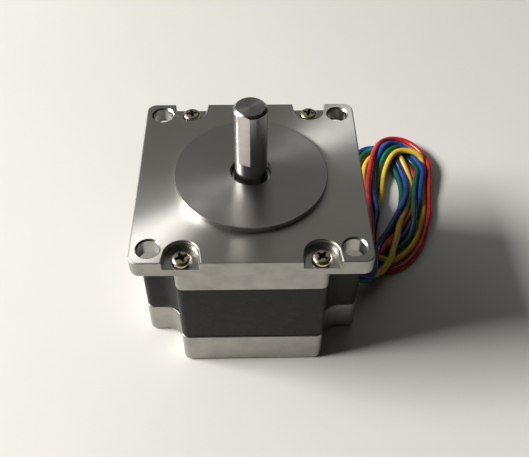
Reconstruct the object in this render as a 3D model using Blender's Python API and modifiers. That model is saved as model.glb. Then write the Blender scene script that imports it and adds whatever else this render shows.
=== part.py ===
"""A two-phase hybrid stepper motor of the 57 mm frame size, standing on its rear face with the shaft up.

Metres, +Z along the shaft, which is the joint axis of everything that turns. The origin is the middle of
the rear face. The four leads come out of the +X side of the rear end cap and lie beside the motor in a hank.
"""

import math

import bmesh
import bpy
from mathutils import Matrix, Vector

MM = 0.001
GAP = 0.3 * MM  # left between pieces that touch on the real motor

# Heights of the stack, from the rear face up
REAR_CAP_TOP = 10.6 * MM
STATOR_BOTTOM = REAR_CAP_TOP + GAP
STATOR_TOP = 30.3 * MM
FRONT_CAP_BOTTOM = STATOR_TOP + GAP
FLANGE_BOTTOM = 36.4 * MM
FLANGE_TOP = 41.0 * MM
PILOT_TOP = FLANGE_TOP + 1.6 * MM
SHAFT_BOTTOM = 2.6 * MM
SHAFT_TOP = FLANGE_TOP + 21.6 * MM

# Front flange, its mounting holes and pilot boss
FLANGE_HALF = 28.0 * MM
FLANGE_CORNER = 2.5 * MM
HOLE_OFFSET = 47.14 / 2 * MM
HOLE_R = 2.6 * MM
PILOT_R = 38.1 / 2 * MM
PILOT_EDGE = 0.3 * MM
SHAFT_CLEARANCE_R = 5.1 * MM
SHAFT_MOUTH_R = 5.4 * MM
SHAFT_MOUTH_DEPTH = 0.3 * MM

# Body section: a square cut back at each corner, round the axis of the mounting hole
BODY_HALF = 27.8 * MM
STATOR_HALF = 27.6 * MM
RELIEF_R = 5.5 * MM
RELIEF_DRAFT = 8  # degrees short of a quarter circle, so that the two walls lean open a little
BODY_EDGE_ROUND = 1.8 * MM

# Tie screws, M3 pan head, in pockets that open through the flange's front and back edges
SCREW_X = 16.0 * MM
SCREW_Y = 25.4 * MM
SCREW_R = 1.5 * MM
SCREW_HOLE_R = 1.75 * MM
SCREW_BOTTOM = 3.7 * MM
SCREW_HEAD_R = 2.4 * MM
SCREW_HEAD_HEIGHT = 1.2 * MM
SCREW_HEAD_DOME = ((0.0, 0.0), (0.6, 0.08 * MM), (0.9, 0.38 * MM), (1.0, 0.8 * MM))
SCREW_TIP_CHAMFER = 0.5 * MM
RECESS_DEPTH = 1.0 * MM
RECESS_ARM = 1.5 * MM
RECESS_HALF_WIDTH = 0.36 * MM
RECESS_TURN = math.radians(25)
POCKET_FLOOR = FLANGE_TOP - 2.3 * MM
POCKET_R = 3.9 * MM
POCKET_DRAFT = 8  # degrees that each side leans outwards, towards the edge
POCKET_CHAMFER = 0.4 * MM
POCKET_CHAMFER_DEPTH = 1.1 * MM

# Hollows of the end caps
CAVITY_R = 23.3 * MM
FRONT_CAVITY_ROOF = 36.2 * MM
REAR_CAVITY_FLOOR = 2.6 * MM
SEAT_BOSS_R = 12.5 * MM
REAR_RECESS_R = 6.0 * MM
REAR_RECESS_DEPTH = 0.7 * MM

# Wave spring washer, between the rear bearing and the floor of its seat
WAVE_SPRING_ROOM = 1.2 * MM
WAVE_SPRING_INSIDE_R = 7.4 * MM
WAVE_SPRING_OUTSIDE_R = 9.2 * MM
WAVE_SPRING_THICKNESS = 0.3 * MM
WAVE_SPRING_RISE = 0.2 * MM
WAVES = 3

# Shaft and its flat
SHAFT_R = 4.0 * MM
SHAFT_CHAMFER = 0.6 * MM
FLAT_LENGTH = 15.0 * MM
FLAT_DEPTH = 0.3 * MM
FLAT_ANGLE = math.radians(-115)

# Ball bearings, 8 x 19 x 6
BEARING_R = 9.5 * MM
BEARING_HALF = 3.0 * MM
BEARING_SEAT_R = BEARING_R + 0.25 * MM
BORE_R = SHAFT_R + 0.25 * MM
INNER_RING_R = 5.8 * MM
OUTER_RING_INSIDE_R = 7.9 * MM
BALL_R = 1.5 * MM
BALL_CIRCLE_R = (INNER_RING_R + OUTER_RING_INSIDE_R) / 2
RACE_R = BALL_R + 0.15 * MM
BALLS = 7
SHIELD_HEIGHTS = (2.4 * MM, 2.75 * MM)
SHIELD_GAPS = (0.25 * MM, 0.2 * MM)
CAGE_HALF_HEIGHT = 2.0 * MM
CAGE_WALL_HALF = 0.3 * MM
CAGE_POCKET_R = BALL_R + 0.2 * MM
BEARING_MIDDLES = {"front": 37.6 * MM, "rear": 5.9 * MM}

# Laminated core: poles on the stator, teeth of one pitch on both stator and rotor
POLES = 8
ROTOR_TEETH = 50
TOOTH_PITCH = 2 * math.pi / ROTOR_TEETH
TOOTH_HALF = math.radians(1.4)
TOOTH_DEPTH = 0.8 * MM
TEETH_PER_POLE = 5
ROTOR_R = 14.5 * MM
STATOR_TIP_R = ROTOR_R + GAP
SHOE_R = 16.6 * MM
SHOE_HALF_ANGLE = math.radians(17.4)
NECK_HALF = 2.5 * MM
BACK_IRON_R = 23.3 * MM

# Rotor stack
MAGNET_R = 12.0 * MM
MAGNET_HALF = 0.8 * MM
SPACER_R = 5.6 * MM

# Windings on their plastic insulators
INSULATOR_THICKNESS = 1.0 * MM
INSULATOR_R = CAVITY_R - 0.4 * MM
INSULATOR_INSIDE_R = 21.6 * MM
FINGER_HALF = 2.2 * MM
FINGER_TIP_R = 16.9 * MM
COIL_THICKNESS = 2.2 * MM
COIL_INSIDE_R = 16.9 * MM
COIL_OUTSIDE_R = 20.6 * MM
COIL_CORNER = 1.5 * MM
COIL_WINDOW_CORNER = 0.5 * MM
BOARD_INSIDE_R = 13.2 * MM
BOARD_OUTSIDE_R = 22.8 * MM
BOARD_BOTTOM = 3.1 * MM
BOARD_TOP = 4.1 * MM

# Leads and their grommet, in a slot of the rear end cap's +X wall
LEAD_R = 0.95 * MM
LEAD_PITCH = 2.7 * MM
LEAD_HOLE_R = 1.2 * MM
LEAD_START_X = 21.8 * MM
LEAD_STRAIGHT = (25.5 * MM, 29.9 * MM)  # each lead runs straight out between these two X
EXIT_Y = -4.5 * MM
EXIT_Z = 7.1 * MM
SLOT_INSIDE_X = 21.8 * MM
SLOT_HALF = 4.0 * MM
SLOT_FLOOR = 3.6 * MM
GROMMET_INSIDE_X = 23.7 * MM
GROMMET_LIP_X = BODY_HALF + GAP
GROMMET_OUTSIDE_X = 29.3 * MM
GROMMET_LIP_HALF = (4.7 * MM, 3.2 * MM)
GROMMET_LIP_DROP = 0.5 * MM  # the lip reaches this much further down than up
GROMMET_LIP_ROUND = 0.35 * MM
HANK_HEIGHT = 8.0 * MM

# Each lead's place in the grommet: columns and rows from its middle
LEAD_PLACES = {"yellow": (1, 1), "red": (1, -1), "blue": (-1, 1), "green": (-1, -1)}
# Where each lead's own stretch ends, at the hank's side: Y and height
LEAD_ENDS = {"yellow": (-3.6, 7.6), "red": (-3.2, 4.6), "blue": (-5.9, 7.4), "green": (-5.9, 4.6)}
HANK_SIDE_X = 31.6 * MM

# The hank seen from above: smooth closed lines through these points
HANK_OUTSIDE = (
    (32.4, -5.2),
    (37.5, -7.0),
    (45.5, -3.5),
    (52.5, 7.5),
    (57.6, 22.0),
    (59.4, 37.0),
    (57.6, 49.0),
    (51.0, 56.6),
    (43.0, 56.8),
    (36.0, 51.0),
    (33.2, 38.0),
    (32.6, 16.0),
)
HANK_WINDOW = (
    (41.0, 11.5),
    (45.0, 20.0),
    (47.8, 31.0),
    (47.6, 40.0),
    (45.0, 43.6),
    (42.0, 40.0),
    (40.2, 28.0),
    (39.4, 18.0),
)

# Facets
FINE_STEPS = 48
STEPS = 32
HOLE_STEPS = 14
BEARING_STEPS = 24
BALL_STEPS = (8, 5)
ARC_STEP = math.radians(18)


def clear_scene():
    for obj in list(bpy.data.objects):
        bpy.data.objects.remove(obj, do_unlink=True)


def new_collection(name):
    made = bpy.data.collections.new(name)
    bpy.context.scene.collection.children.link(made)
    return made


def new_material(name, colour, roughness, metallic):
    material = bpy.data.materials.new(name)
    material.use_nodes = True
    shader = material.node_tree.nodes["Principled BSDF"]
    shader.inputs["Base Color"].default_value = (*colour, 1)
    shader.inputs["Roughness"].default_value = roughness
    shader.inputs["Metallic"].default_value = metallic
    return material


def axis_empty(name, height):
    """An empty on the shaft's axis, which carries the pieces that turn about it."""
    empty = bpy.data.objects.new(name, None)
    empty.location = (0, 0, height)
    PARTS.objects.link(empty)
    bpy.context.view_layer.update()
    return empty


def new_object(name, mesh, material=None, parent=None):
    """A part when it has a material, and otherwise a cutter."""
    obj = bpy.data.objects.new(name, mesh)
    if material:
        mesh.materials.append(material)
        PARTS.objects.link(obj)
    else:
        CUTTERS.objects.link(obj)
        obj.hide_render = True
        obj.display_type = "WIRE"
    obj.parent = parent
    return obj


def cut(obj, cutter):
    add_boolean(obj, cutter, "DIFFERENCE")


def join(obj, other):
    add_boolean(obj, other, "UNION")


def add_boolean(obj, other, operation):
    boolean = obj.modifiers.new(other.name, "BOOLEAN")
    boolean.object = other
    boolean.operation = operation


def shade(obj):
    obj.data.shade_smooth()
    obj.data.set_sharp_from_angle(angle=math.radians(35))


# Outlines in the XY plane


def polar(radius, angle):
    return (radius * math.cos(angle), radius * math.sin(angle))


def arc(centre, radius, start, end):
    """Points along an arc, ends included. Angles in degrees."""
    start, end = math.radians(start), math.radians(end)
    count = max(2, round(abs(end - start) / ARC_STEP))
    angles = [start + (end - start) * i / count for i in range(count + 1)]
    return [(centre[0] + radius * math.cos(a), centre[1] + radius * math.sin(a)) for a in angles]


def circle(radius, steps, centre=(0, 0)):
    points = [polar(radius, 2 * math.pi * i / steps) for i in range(steps)]
    return [(centre[0] + x, centre[1] + y) for x, y in points]


def four_times(quarter):
    """A quarter's points, repeated at each quarter turn."""
    outline = []
    for turn in range(4):
        spin = Matrix.Rotation(turn * math.pi / 2, 2)
        outline += [tuple(spin @ Vector(point)) for point in quarter]
    return outline


def rounded_rectangle(half_x, half_y, corner):
    centres = ((half_x - corner, half_y - corner), (corner - half_x, half_y - corner))
    outline = arc(centres[0], corner, 0, 90) + arc(centres[1], corner, 90, 180)
    return outline + [(-x, -y) for x, y in outline]


def body_outline(half):
    """The body's section: each corner is cut back to two walls and the arc round its mounting hole."""
    wall = HOLE_OFFSET - RELIEF_R
    inner = half - BODY_EDGE_ROUND
    quarter = arc((inner, wall - BODY_EDGE_ROUND), BODY_EDGE_ROUND, 0, 90)
    quarter += arc((HOLE_OFFSET, HOLE_OFFSET), RELIEF_R, 270 - RELIEF_DRAFT, 180 + RELIEF_DRAFT)
    quarter += arc((wall - BODY_EDGE_ROUND, inner), BODY_EDGE_ROUND, 0, 90)
    return four_times(quarter)


def half_pole():
    """From the middle of a winding slot to the middle of a pole's tip, as radius and angle from the pole."""
    points = [
        (BACK_IRON_R, -math.pi / POLES),
        (BACK_IRON_R, -math.asin(NECK_HALF / BACK_IRON_R)),
        (SHOE_R, -math.asin(NECK_HALF / SHOE_R)),
        (SHOE_R - 0.4 * MM, -SHOE_HALF_ANGLE),
        (STATOR_TIP_R + TOOTH_DEPTH, -SHOE_HALF_ANGLE),
    ]
    for tooth in range(-(TEETH_PER_POLE // 2), 1):
        middle = tooth * TOOTH_PITCH
        points.append((STATOR_TIP_R + TOOTH_DEPTH, middle - TOOTH_HALF))
        points.append((STATOR_TIP_R, middle - TOOTH_HALF))
        if tooth < 0:
            points.append((STATOR_TIP_R, middle + TOOTH_HALF))
            points.append((STATOR_TIP_R + TOOTH_DEPTH, middle + TOOTH_HALF))
    return points


def stator_bore():
    """The opening inside the stator: toothed pole tips and the winding slots between their necks."""
    half = half_pole()
    other_half = [(radius, -angle) for radius, angle in reversed(half[1:])]
    pole = half + other_half
    outline = []
    for index in range(POLES):
        turn = index * 2 * math.pi / POLES
        outline += [polar(radius, angle + turn) for radius, angle in pole]
    return outline


def rotor_outline(phase):
    outline = []
    for tooth in range(ROTOR_TEETH):
        middle = phase + tooth * TOOTH_PITCH
        gap_middle = middle + TOOTH_PITCH / 2
        outline.append(polar(ROTOR_R, middle - TOOTH_HALF))
        outline.append(polar(ROTOR_R, middle + TOOTH_HALF))
        outline.append(polar(ROTOR_R - TOOTH_DEPTH, gap_middle - TOOTH_HALF))
        outline.append(polar(ROTOR_R - TOOTH_DEPTH, gap_middle + TOOTH_HALF))
    return outline


def insulator_opening():
    """The opening inside an insulator: a ring with one finger in along each pole's neck."""
    outline = []
    for index in range(POLES):
        turn = Matrix.Rotation(index * 2 * math.pi / POLES, 2)
        ring_x = math.sqrt(INSULATOR_INSIDE_R**2 - FINGER_HALF**2)
        slot_middle = polar(INSULATOR_INSIDE_R, -math.pi / POLES)
        finger = (
            slot_middle,
            (ring_x, -FINGER_HALF),
            (FINGER_TIP_R, -FINGER_HALF),
            (FINGER_TIP_R, FINGER_HALF),
            (ring_x, FINGER_HALF),
        )
        outline += [tuple(turn @ Vector(point)) for point in finger]
    return outline


def smooth_loop(points, per_span):
    """A closed line that passes smoothly through points given in millimetres."""
    outline = []
    count = len(points)
    for i in range(count):
        before, start, end, after = (Vector(points[(i + step) % count]) for step in (-1, 0, 1, 2))
        for j in range(per_span):
            outline.append(tuple(between(before, start, end, after, j / per_span) * MM))
    return outline


def between(before, start, end, after, t):
    """Catmull-Rom: a point from start to end, with its neighbours giving the direction."""
    return 0.5 * (
        2 * start
        + (end - before) * t
        + (2 * before - 5 * start + 4 * end - after) * t**2
        + (3 * start - before - 3 * end + after) * t**3
    )


# Solids


def extruded(name, outlines, bottom, top):
    """A mesh with straight sides: the first closed outline is its outside, and the others are holes."""
    curve = bpy.data.curves.new(name, "CURVE")
    curve.dimensions = "2D"
    curve.fill_mode = "BOTH"
    curve.extrude = (top - bottom) / 2
    for outline in outlines:
        spline = curve.splines.new("POLY")
        spline.points.add(len(outline) - 1)
        for point, (x, y) in zip(spline.points, outline):
            point.co = (x, y, 0, 1)
        spline.use_cyclic_u = True
    return meshed(name, curve, Matrix.Translation((0, 0, (top + bottom) / 2)))


def meshed(name, curve, matrix):
    """A curve made into a closed mesh, which a Boolean can use."""
    guide = bpy.data.objects.new(name, curve)
    bpy.context.scene.collection.objects.link(guide)
    graph = bpy.context.evaluated_depsgraph_get()
    mesh = bpy.data.meshes.new_from_object(guide.evaluated_get(graph))
    bpy.data.objects.remove(guide)
    shape = bmesh.new()
    shape.from_mesh(mesh)
    bmesh.ops.remove_doubles(shape, verts=shape.verts, dist=0.001 * MM)
    bmesh.ops.dissolve_limit(shape, angle_limit=0.001, verts=shape.verts, edges=shape.edges)
    bmesh.ops.recalc_face_normals(shape, faces=shape.faces)
    bmesh.ops.transform(shape, matrix=matrix, verts=shape.verts)
    shape.to_mesh(mesh)
    shape.free()
    mesh.name = name
    return mesh


def plate(name, outlines, bottom, top, material=None, parent=None):
    obj = new_object(name, extruded(name, outlines, bottom, top), material, parent)
    shade(obj)
    return obj


def turned(name, profile, steps, material=None, parent=None):
    """A solid of revolution. The profile is radius and height, down the outside; a ring's is closed."""
    solid = profile[0][0] == 0
    count = len(profile)
    mesh = bpy.data.meshes.new(name)
    edges = [(i, (i + 1) % count) for i in range(count - 1 if solid else count)]
    mesh.from_pydata([(radius, 0, height) for radius, height in profile], edges, [])
    obj = new_object(name, mesh, material, parent)
    screw = obj.modifiers.new("turn", "SCREW")
    screw.axis = "Z"
    screw.steps = steps
    screw.render_steps = steps
    screw.use_merge_vertices = True
    screw.merge_threshold = 0.001 * MM
    screw.use_smooth_shade = False
    return obj


def box(name, low, high, material=None, bevel=0.0):
    shape = bmesh.new()
    bmesh.ops.create_cube(shape, size=1)
    size = Vector(high) - Vector(low)
    middle = (Vector(high) + Vector(low)) / 2
    bmesh.ops.scale(shape, vec=size, verts=shape.verts)
    bmesh.ops.translate(shape, vec=middle, verts=shape.verts)
    mesh = bpy.data.meshes.new(name)
    shape.to_mesh(mesh)
    shape.free()
    obj = new_object(name, mesh, material)
    if bevel:
        rounding = obj.modifiers.new("rounding", "BEVEL")
        rounding.width = bevel
        rounding.segments = 2
    return obj


def rod(name, radius, length, steps, matrix):
    """A cylinder cutter along its own Z, placed by a matrix."""
    shape = bmesh.new()
    bmesh.ops.create_cone(
        shape, cap_ends=True, segments=steps, radius1=radius, radius2=radius, depth=length, matrix=matrix
    )
    mesh = bpy.data.meshes.new(name)
    shape.to_mesh(mesh)
    shape.free()
    return new_object(name, mesh)


# Housing


def screw_places():
    """The tie screws, anticlockwise from the front left."""
    signs = ((-1, -1), (1, -1), (1, 1), (-1, 1))
    return [(x * SCREW_X, y * SCREW_Y) for x, y in signs]


def screw_holes(name):
    holes = []
    for index, place in enumerate(screw_places(), 1):
        outline = circle(SCREW_HOLE_R, HOLE_STEPS, place)
        holes.append(plate(f"{name}_{index}", [outline], -GAP, POCKET_FLOOR + GAP))
    return holes


def pocket_cutters(index, place):
    """A screw head's pocket: round inwards, wider towards the flange's edge, and flared at its mouth."""
    start = 180 if place[1] > 0 else 0
    x, y = place
    outline = arc(place, POCKET_R, start + POCKET_DRAFT, start + 180 - POCKET_DRAFT)
    far = y + math.copysign(POCKET_R * 2, y)
    spread = abs(far - outline[0][1]) * math.tan(math.radians(POCKET_DRAFT))
    for side in (outline[-1][0], outline[0][0]):
        outline.append((side + math.copysign(spread, side - x), far))
    slot = plate(f"pocket_{index}", [outline], POCKET_FLOOR, FLANGE_TOP + GAP)
    mouth = plate(f"pocket_mouth_{index}", [outline], FLANGE_TOP - POCKET_CHAMFER_DEPTH, FLANGE_TOP + GAP)
    grow = (POCKET_R + POCKET_CHAMFER + GAP) / POCKET_R
    for vertex in mouth.data.vertices:
        if vertex.co.z > FLANGE_TOP:
            vertex.co.x = x + (vertex.co.x - x) * grow
            vertex.co.y = y + (vertex.co.y - y) * grow
    return slot, mouth


def make_front_end_cap():
    flange = rounded_rectangle(FLANGE_HALF, FLANGE_HALF, FLANGE_CORNER)
    corners = ((1, 1), (-1, 1), (-1, -1), (1, -1))
    centres = [(x * HOLE_OFFSET, y * HOLE_OFFSET) for x, y in corners]
    mounting_holes = [circle(HOLE_R, HOLE_STEPS, centre) for centre in centres]
    cap = plate("front_end_cap", [flange] + mounting_holes, FLANGE_BOTTOM, FLANGE_TOP, CAST_ALUMINIUM)
    join(cap, plate("skirt", [body_outline(BODY_HALF)], FRONT_CAP_BOTTOM, FLANGE_BOTTOM + GAP))
    pilot = (
        (0, PILOT_TOP),
        (PILOT_R - PILOT_EDGE, PILOT_TOP),
        (PILOT_R, PILOT_TOP - PILOT_EDGE),
        (PILOT_R, FLANGE_TOP - GAP),
        (0, FLANGE_TOP - GAP),
    )
    join(cap, turned("pilot", pilot, FINE_STEPS))
    shoulder = BEARING_MIDDLES["front"] + BEARING_HALF + GAP
    boss_end = BEARING_MIDDLES["front"] - BEARING_HALF
    below = FRONT_CAP_BOTTOM - GAP
    hollow = (
        (0, PILOT_TOP + GAP),
        (SHAFT_MOUTH_R, PILOT_TOP + GAP),
        (SHAFT_CLEARANCE_R, PILOT_TOP - SHAFT_MOUTH_DEPTH),
        (SHAFT_CLEARANCE_R, shoulder),
        (BEARING_SEAT_R, shoulder),
        (BEARING_SEAT_R, boss_end),
        (SEAT_BOSS_R, boss_end),
        (SEAT_BOSS_R, FRONT_CAVITY_ROOF),
        (CAVITY_R, FRONT_CAVITY_ROOF),
        (CAVITY_R, below),
        (0, below),
    )
    cut(cap, turned("front_hollow", hollow, FINE_STEPS))
    for hole in screw_holes("front_screw_hole"):
        cut(cap, hole)
    for index, place in enumerate(screw_places(), 1):
        for cutter in pocket_cutters(index, place):
            cut(cap, cutter)


def make_rear_end_cap():
    cap = plate("rear_end_cap", [body_outline(BODY_HALF)], 0, REAR_CAP_TOP, CAST_ALUMINIUM)
    seat_floor = BEARING_MIDDLES["rear"] - BEARING_HALF - WAVE_SPRING_ROOM
    boss_top = BEARING_MIDDLES["rear"] + BEARING_HALF
    above = REAR_CAP_TOP + GAP
    hollow = (
        (0, above),
        (CAVITY_R, above),
        (CAVITY_R, REAR_CAVITY_FLOOR),
        (SEAT_BOSS_R, REAR_CAVITY_FLOOR),
        (SEAT_BOSS_R, boss_top),
        (BEARING_SEAT_R, boss_top),
        (BEARING_SEAT_R, seat_floor),
        (0, seat_floor),
    )
    cut(cap, turned("rear_hollow", hollow, FINE_STEPS))
    cut(cap, plate("rear_recess", [circle(REAR_RECESS_R, STEPS)], -GAP, REAR_RECESS_DEPTH))
    for hole in screw_holes("rear_screw_hole"):
        cut(cap, hole)
    slot_low = (SLOT_INSIDE_X, EXIT_Y - SLOT_HALF, SLOT_FLOOR)
    slot_high = (BODY_HALF + GAP, EXIT_Y + SLOT_HALF, above)
    cut(cap, box("lead_slot", slot_low, slot_high))


def make_tie_screws():
    head_bottom = POCKET_FLOOR + GAP
    head_top = head_bottom + SCREW_HEAD_HEIGHT
    profile = [(SCREW_HEAD_R * share, head_top - drop) for share, drop in SCREW_HEAD_DOME]
    profile += [
        (SCREW_HEAD_R, head_bottom),
        (SCREW_R, head_bottom),
        (SCREW_R, SCREW_BOTTOM + SCREW_TIP_CHAMFER),
        (SCREW_R - SCREW_TIP_CHAMFER, SCREW_BOTTOM),
        (0, SCREW_BOTTOM),
    ]
    for index, (x, y) in enumerate(screw_places(), 1):
        screw = turned(f"tie_screw_{index}", profile, HOLE_STEPS, ZINC)
        screw.location = (x, y, 0)
        turn = RECESS_TURN * index
        for letter, angle in (("a", turn), ("b", turn + math.pi / 2)):
            low = (-RECESS_ARM, -RECESS_HALF_WIDTH, head_top - RECESS_DEPTH)
            high = (RECESS_ARM, RECESS_HALF_WIDTH, head_top + GAP)
            slot = box(f"recess_{index}_{letter}", low, high)
            slot.location = (x, y, 0)
            slot.rotation_euler.z = angle
            cut(screw, slot)


def make_stator():
    screw_clearances = [circle(SCREW_HOLE_R, HOLE_STEPS, place) for place in screw_places()]
    outlines = [body_outline(STATOR_HALF), stator_bore()] + screw_clearances
    plate("stator_core", outlines, STATOR_BOTTOM, STATOR_TOP, LACQUER)


def insulator_heights():
    """The outer faces of the two insulators, the rear one's and the front one's."""
    reach = GAP + INSULATOR_THICKNESS
    return STATOR_BOTTOM - reach, STATOR_TOP + reach


def make_insulators():
    low, high = insulator_heights()
    outlines = [circle(INSULATOR_R, STEPS), insulator_opening()]
    plate("rear_insulator", outlines, low, low + INSULATOR_THICKNESS, NYLON)
    plate("front_insulator", outlines, high - INSULATOR_THICKNESS, high, NYLON)


def make_coils():
    """Each winding is a rounded frame round a pole's neck and the insulators' fingers."""
    low, high = insulator_heights()
    half_height = (high - low) / 2 + GAP
    half_width = NECK_HALF + GAP
    window = rounded_rectangle(half_width, half_height, COIL_WINDOW_CORNER)
    outside = rounded_rectangle(half_width + COIL_THICKNESS, half_height + COIL_THICKNESS, COIL_CORNER)
    mesh = extruded("coil", [outside, window], COIL_INSIDE_R, COIL_OUTSIDE_R)
    radial_out = Matrix(((0, 0, 1, 0), (1, 0, 0, 0), (0, 1, 0, (low + high) / 2), (0, 0, 0, 1)))
    mesh.transform(radial_out)
    mesh.materials.append(COPPER)
    for index in range(POLES):
        coil = bpy.data.objects.new(f"coil_{index + 1}", mesh)
        coil.rotation_euler.z = index * 2 * math.pi / POLES
        PARTS.objects.link(coil)


def make_winding_board():
    outlines = [circle(BOARD_OUTSIDE_R, STEPS), circle(BOARD_INSIDE_R, STEPS)]
    plate("winding_board", outlines, BOARD_BOTTOM, BOARD_TOP, BOARD)


def make_wave_spring():
    """A ring of spring steel with three waves, which presses on the rear bearing."""
    middle = BEARING_MIDDLES["rear"] - BEARING_HALF - WAVE_SPRING_ROOM / 2
    mesh = bpy.data.meshes.new("wave_spring_washer")
    points = []
    for step in range(STEPS):
        angle = 2 * math.pi * step / STEPS
        height = middle + WAVE_SPRING_RISE * math.cos(WAVES * angle)
        points.append((*polar(WAVE_SPRING_INSIDE_R, angle), height))
        points.append((*polar(WAVE_SPRING_OUTSIDE_R, angle), height))
    count = len(points)
    faces = [(i, i + 1, (i + 3) % count, (i + 2) % count) for i in range(0, count, 2)]
    mesh.from_pydata(points, [], faces)
    washer = new_object("wave_spring_washer", mesh, SPRING_STEEL)
    solid = washer.modifiers.new("thickness", "SOLIDIFY")
    solid.thickness = WAVE_SPRING_THICKNESS
    solid.offset = 0


# Rotor and bearings


def make_shaft(axis):
    profile = (
        (0, SHAFT_TOP),
        (SHAFT_R - SHAFT_CHAMFER, SHAFT_TOP),
        (SHAFT_R, SHAFT_TOP - SHAFT_CHAMFER),
        (SHAFT_R, SHAFT_BOTTOM + SHAFT_CHAMFER),
        (SHAFT_R - SHAFT_CHAMFER, SHAFT_BOTTOM),
        (0, SHAFT_BOTTOM),
    )
    shaft = turned("shaft", profile, STEPS, GROUND_STEEL, axis)
    beyond = SHAFT_R + GAP
    low = (SHAFT_R - FLAT_DEPTH, -beyond, SHAFT_TOP - FLAT_LENGTH)
    high = (beyond, beyond, SHAFT_TOP + GAP)
    flat = box("shaft_flat", low, high)
    flat.rotation_euler.z = FLAT_ANGLE
    cut(shaft, flat)


def ring_profile(inside, outside, bottom, top):
    return ((inside, top), (outside, top), (outside, bottom), (inside, bottom))


def make_rotor_stack(axis):
    middle = (STATOR_BOTTOM + STATOR_TOP) / 2
    near = MAGNET_HALF + GAP
    bore = circle(BORE_R, STEPS)
    plate("rotor_core_front", [rotor_outline(0), bore], middle + near, STATOR_TOP, CORE_STEEL, axis)
    offset = TOOTH_PITCH / 2
    plate("rotor_core_rear", [rotor_outline(offset), bore], STATOR_BOTTOM, middle - near, CORE_STEEL, axis)
    outlines = [circle(MAGNET_R, STEPS), bore]
    plate("rotor_magnet", outlines, middle - MAGNET_HALF, middle + MAGNET_HALF, MAGNET, axis)
    front_top = BEARING_MIDDLES["front"] - BEARING_HALF - GAP
    front = ring_profile(BORE_R, SPACER_R, STATOR_TOP + GAP, front_top)
    turned("front_spacer", front, BEARING_STEPS, BRASS, axis)
    rear_bottom = BEARING_MIDDLES["rear"] + BEARING_HALF + GAP
    rear = ring_profile(BORE_R, SPACER_R, rear_bottom, STATOR_BOTTOM - GAP)
    turned("rear_spacer", rear, BEARING_STEPS, BRASS, axis)


def race(side):
    """A bearing ring's groove, from its top edge down: side is 1 on the outer ring and -1 on the inner."""
    edge = OUTER_RING_INSIDE_R if side > 0 else INNER_RING_R
    reach = math.acos(abs(edge - BALL_CIRCLE_R) / RACE_R)
    angles = [reach * (1 - i * 2 / 3) for i in range(4)]
    return [(BALL_CIRCLE_R + side * RACE_R * math.cos(a), RACE_R * math.sin(a)) for a in angles]


def at_height(profile, height):
    return [(radius, z + height) for radius, z in profile]


def make_bearing(end, rotor_axis, cage_axis):
    middle = BEARING_MIDDLES[end]
    outer = [(OUTER_RING_INSIDE_R, BEARING_HALF), (BEARING_R, BEARING_HALF)]
    outer += [(BEARING_R, -BEARING_HALF), (OUTER_RING_INSIDE_R, -BEARING_HALF)]
    outer += reversed(race(1))
    turned(f"{end}_bearing_outer_ring", at_height(outer, middle), BEARING_STEPS, BEARING_STEEL)
    inner = [(BORE_R, BEARING_HALF), (INNER_RING_R, BEARING_HALF)] + race(-1)
    inner += [(INNER_RING_R, -BEARING_HALF), (BORE_R, -BEARING_HALF)]
    name = f"{end}_bearing_inner_ring"
    turned(name, at_height(inner, middle), BEARING_STEPS, BEARING_STEEL, rotor_axis)
    shield_inside = INNER_RING_R + SHIELD_GAPS[0]
    shield_outside = OUTER_RING_INSIDE_R - SHIELD_GAPS[1]
    for side, sign in (("upper", 1), ("lower", -1)):
        heights = sorted(middle + sign * height for height in SHIELD_HEIGHTS)
        profile = ring_profile(shield_inside, shield_outside, *heights)
        turned(f"{end}_bearing_{side}_shield", profile, BEARING_STEPS, SPRING_STEEL)
    make_cage(end, cage_axis)


def make_cage(end, cage_axis):
    """The cage holds the balls apart; both are placed from the empty at the bearing's middle."""
    inside, outside = BALL_CIRCLE_R - CAGE_WALL_HALF, BALL_CIRCLE_R + CAGE_WALL_HALF
    profile = ring_profile(inside, outside, -CAGE_HALF_HEIGHT, CAGE_HALF_HEIGHT)
    cage = turned(f"{end}_bearing_cage", profile, BEARING_STEPS, BRASS, cage_axis)
    shape = bmesh.new()
    around, along = BALL_STEPS
    bmesh.ops.create_uvsphere(shape, u_segments=around, v_segments=along, radius=BALL_R)
    mesh = bpy.data.meshes.new(f"{end}_ball")
    shape.to_mesh(mesh)
    shape.free()
    mesh.materials.append(BALL_STEEL)
    mesh.shade_smooth()
    lying = Matrix.Rotation(math.pi / 2, 4, "Y")
    for index in range(BALLS):
        angle = 2 * math.pi * index / BALLS
        place = Vector((*polar(BALL_CIRCLE_R, angle), 0))
        turn = Matrix.Rotation(angle, 4, "Z")
        matrix = Matrix.Translation(place) @ turn @ lying
        pocket = rod(f"{end}_pocket_{index + 1}", CAGE_POCKET_R, CAGE_WALL_HALF * 8, BALL_STEPS[0], matrix)
        pocket.parent = cage_axis
        cut(cage, pocket)
        ball = bpy.data.objects.new(f"{end}_ball_{index + 1}", mesh)
        ball.location = place
        ball.rotation_euler.z = angle
        ball.parent = cage_axis
        PARTS.objects.link(ball)


# Leads


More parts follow.
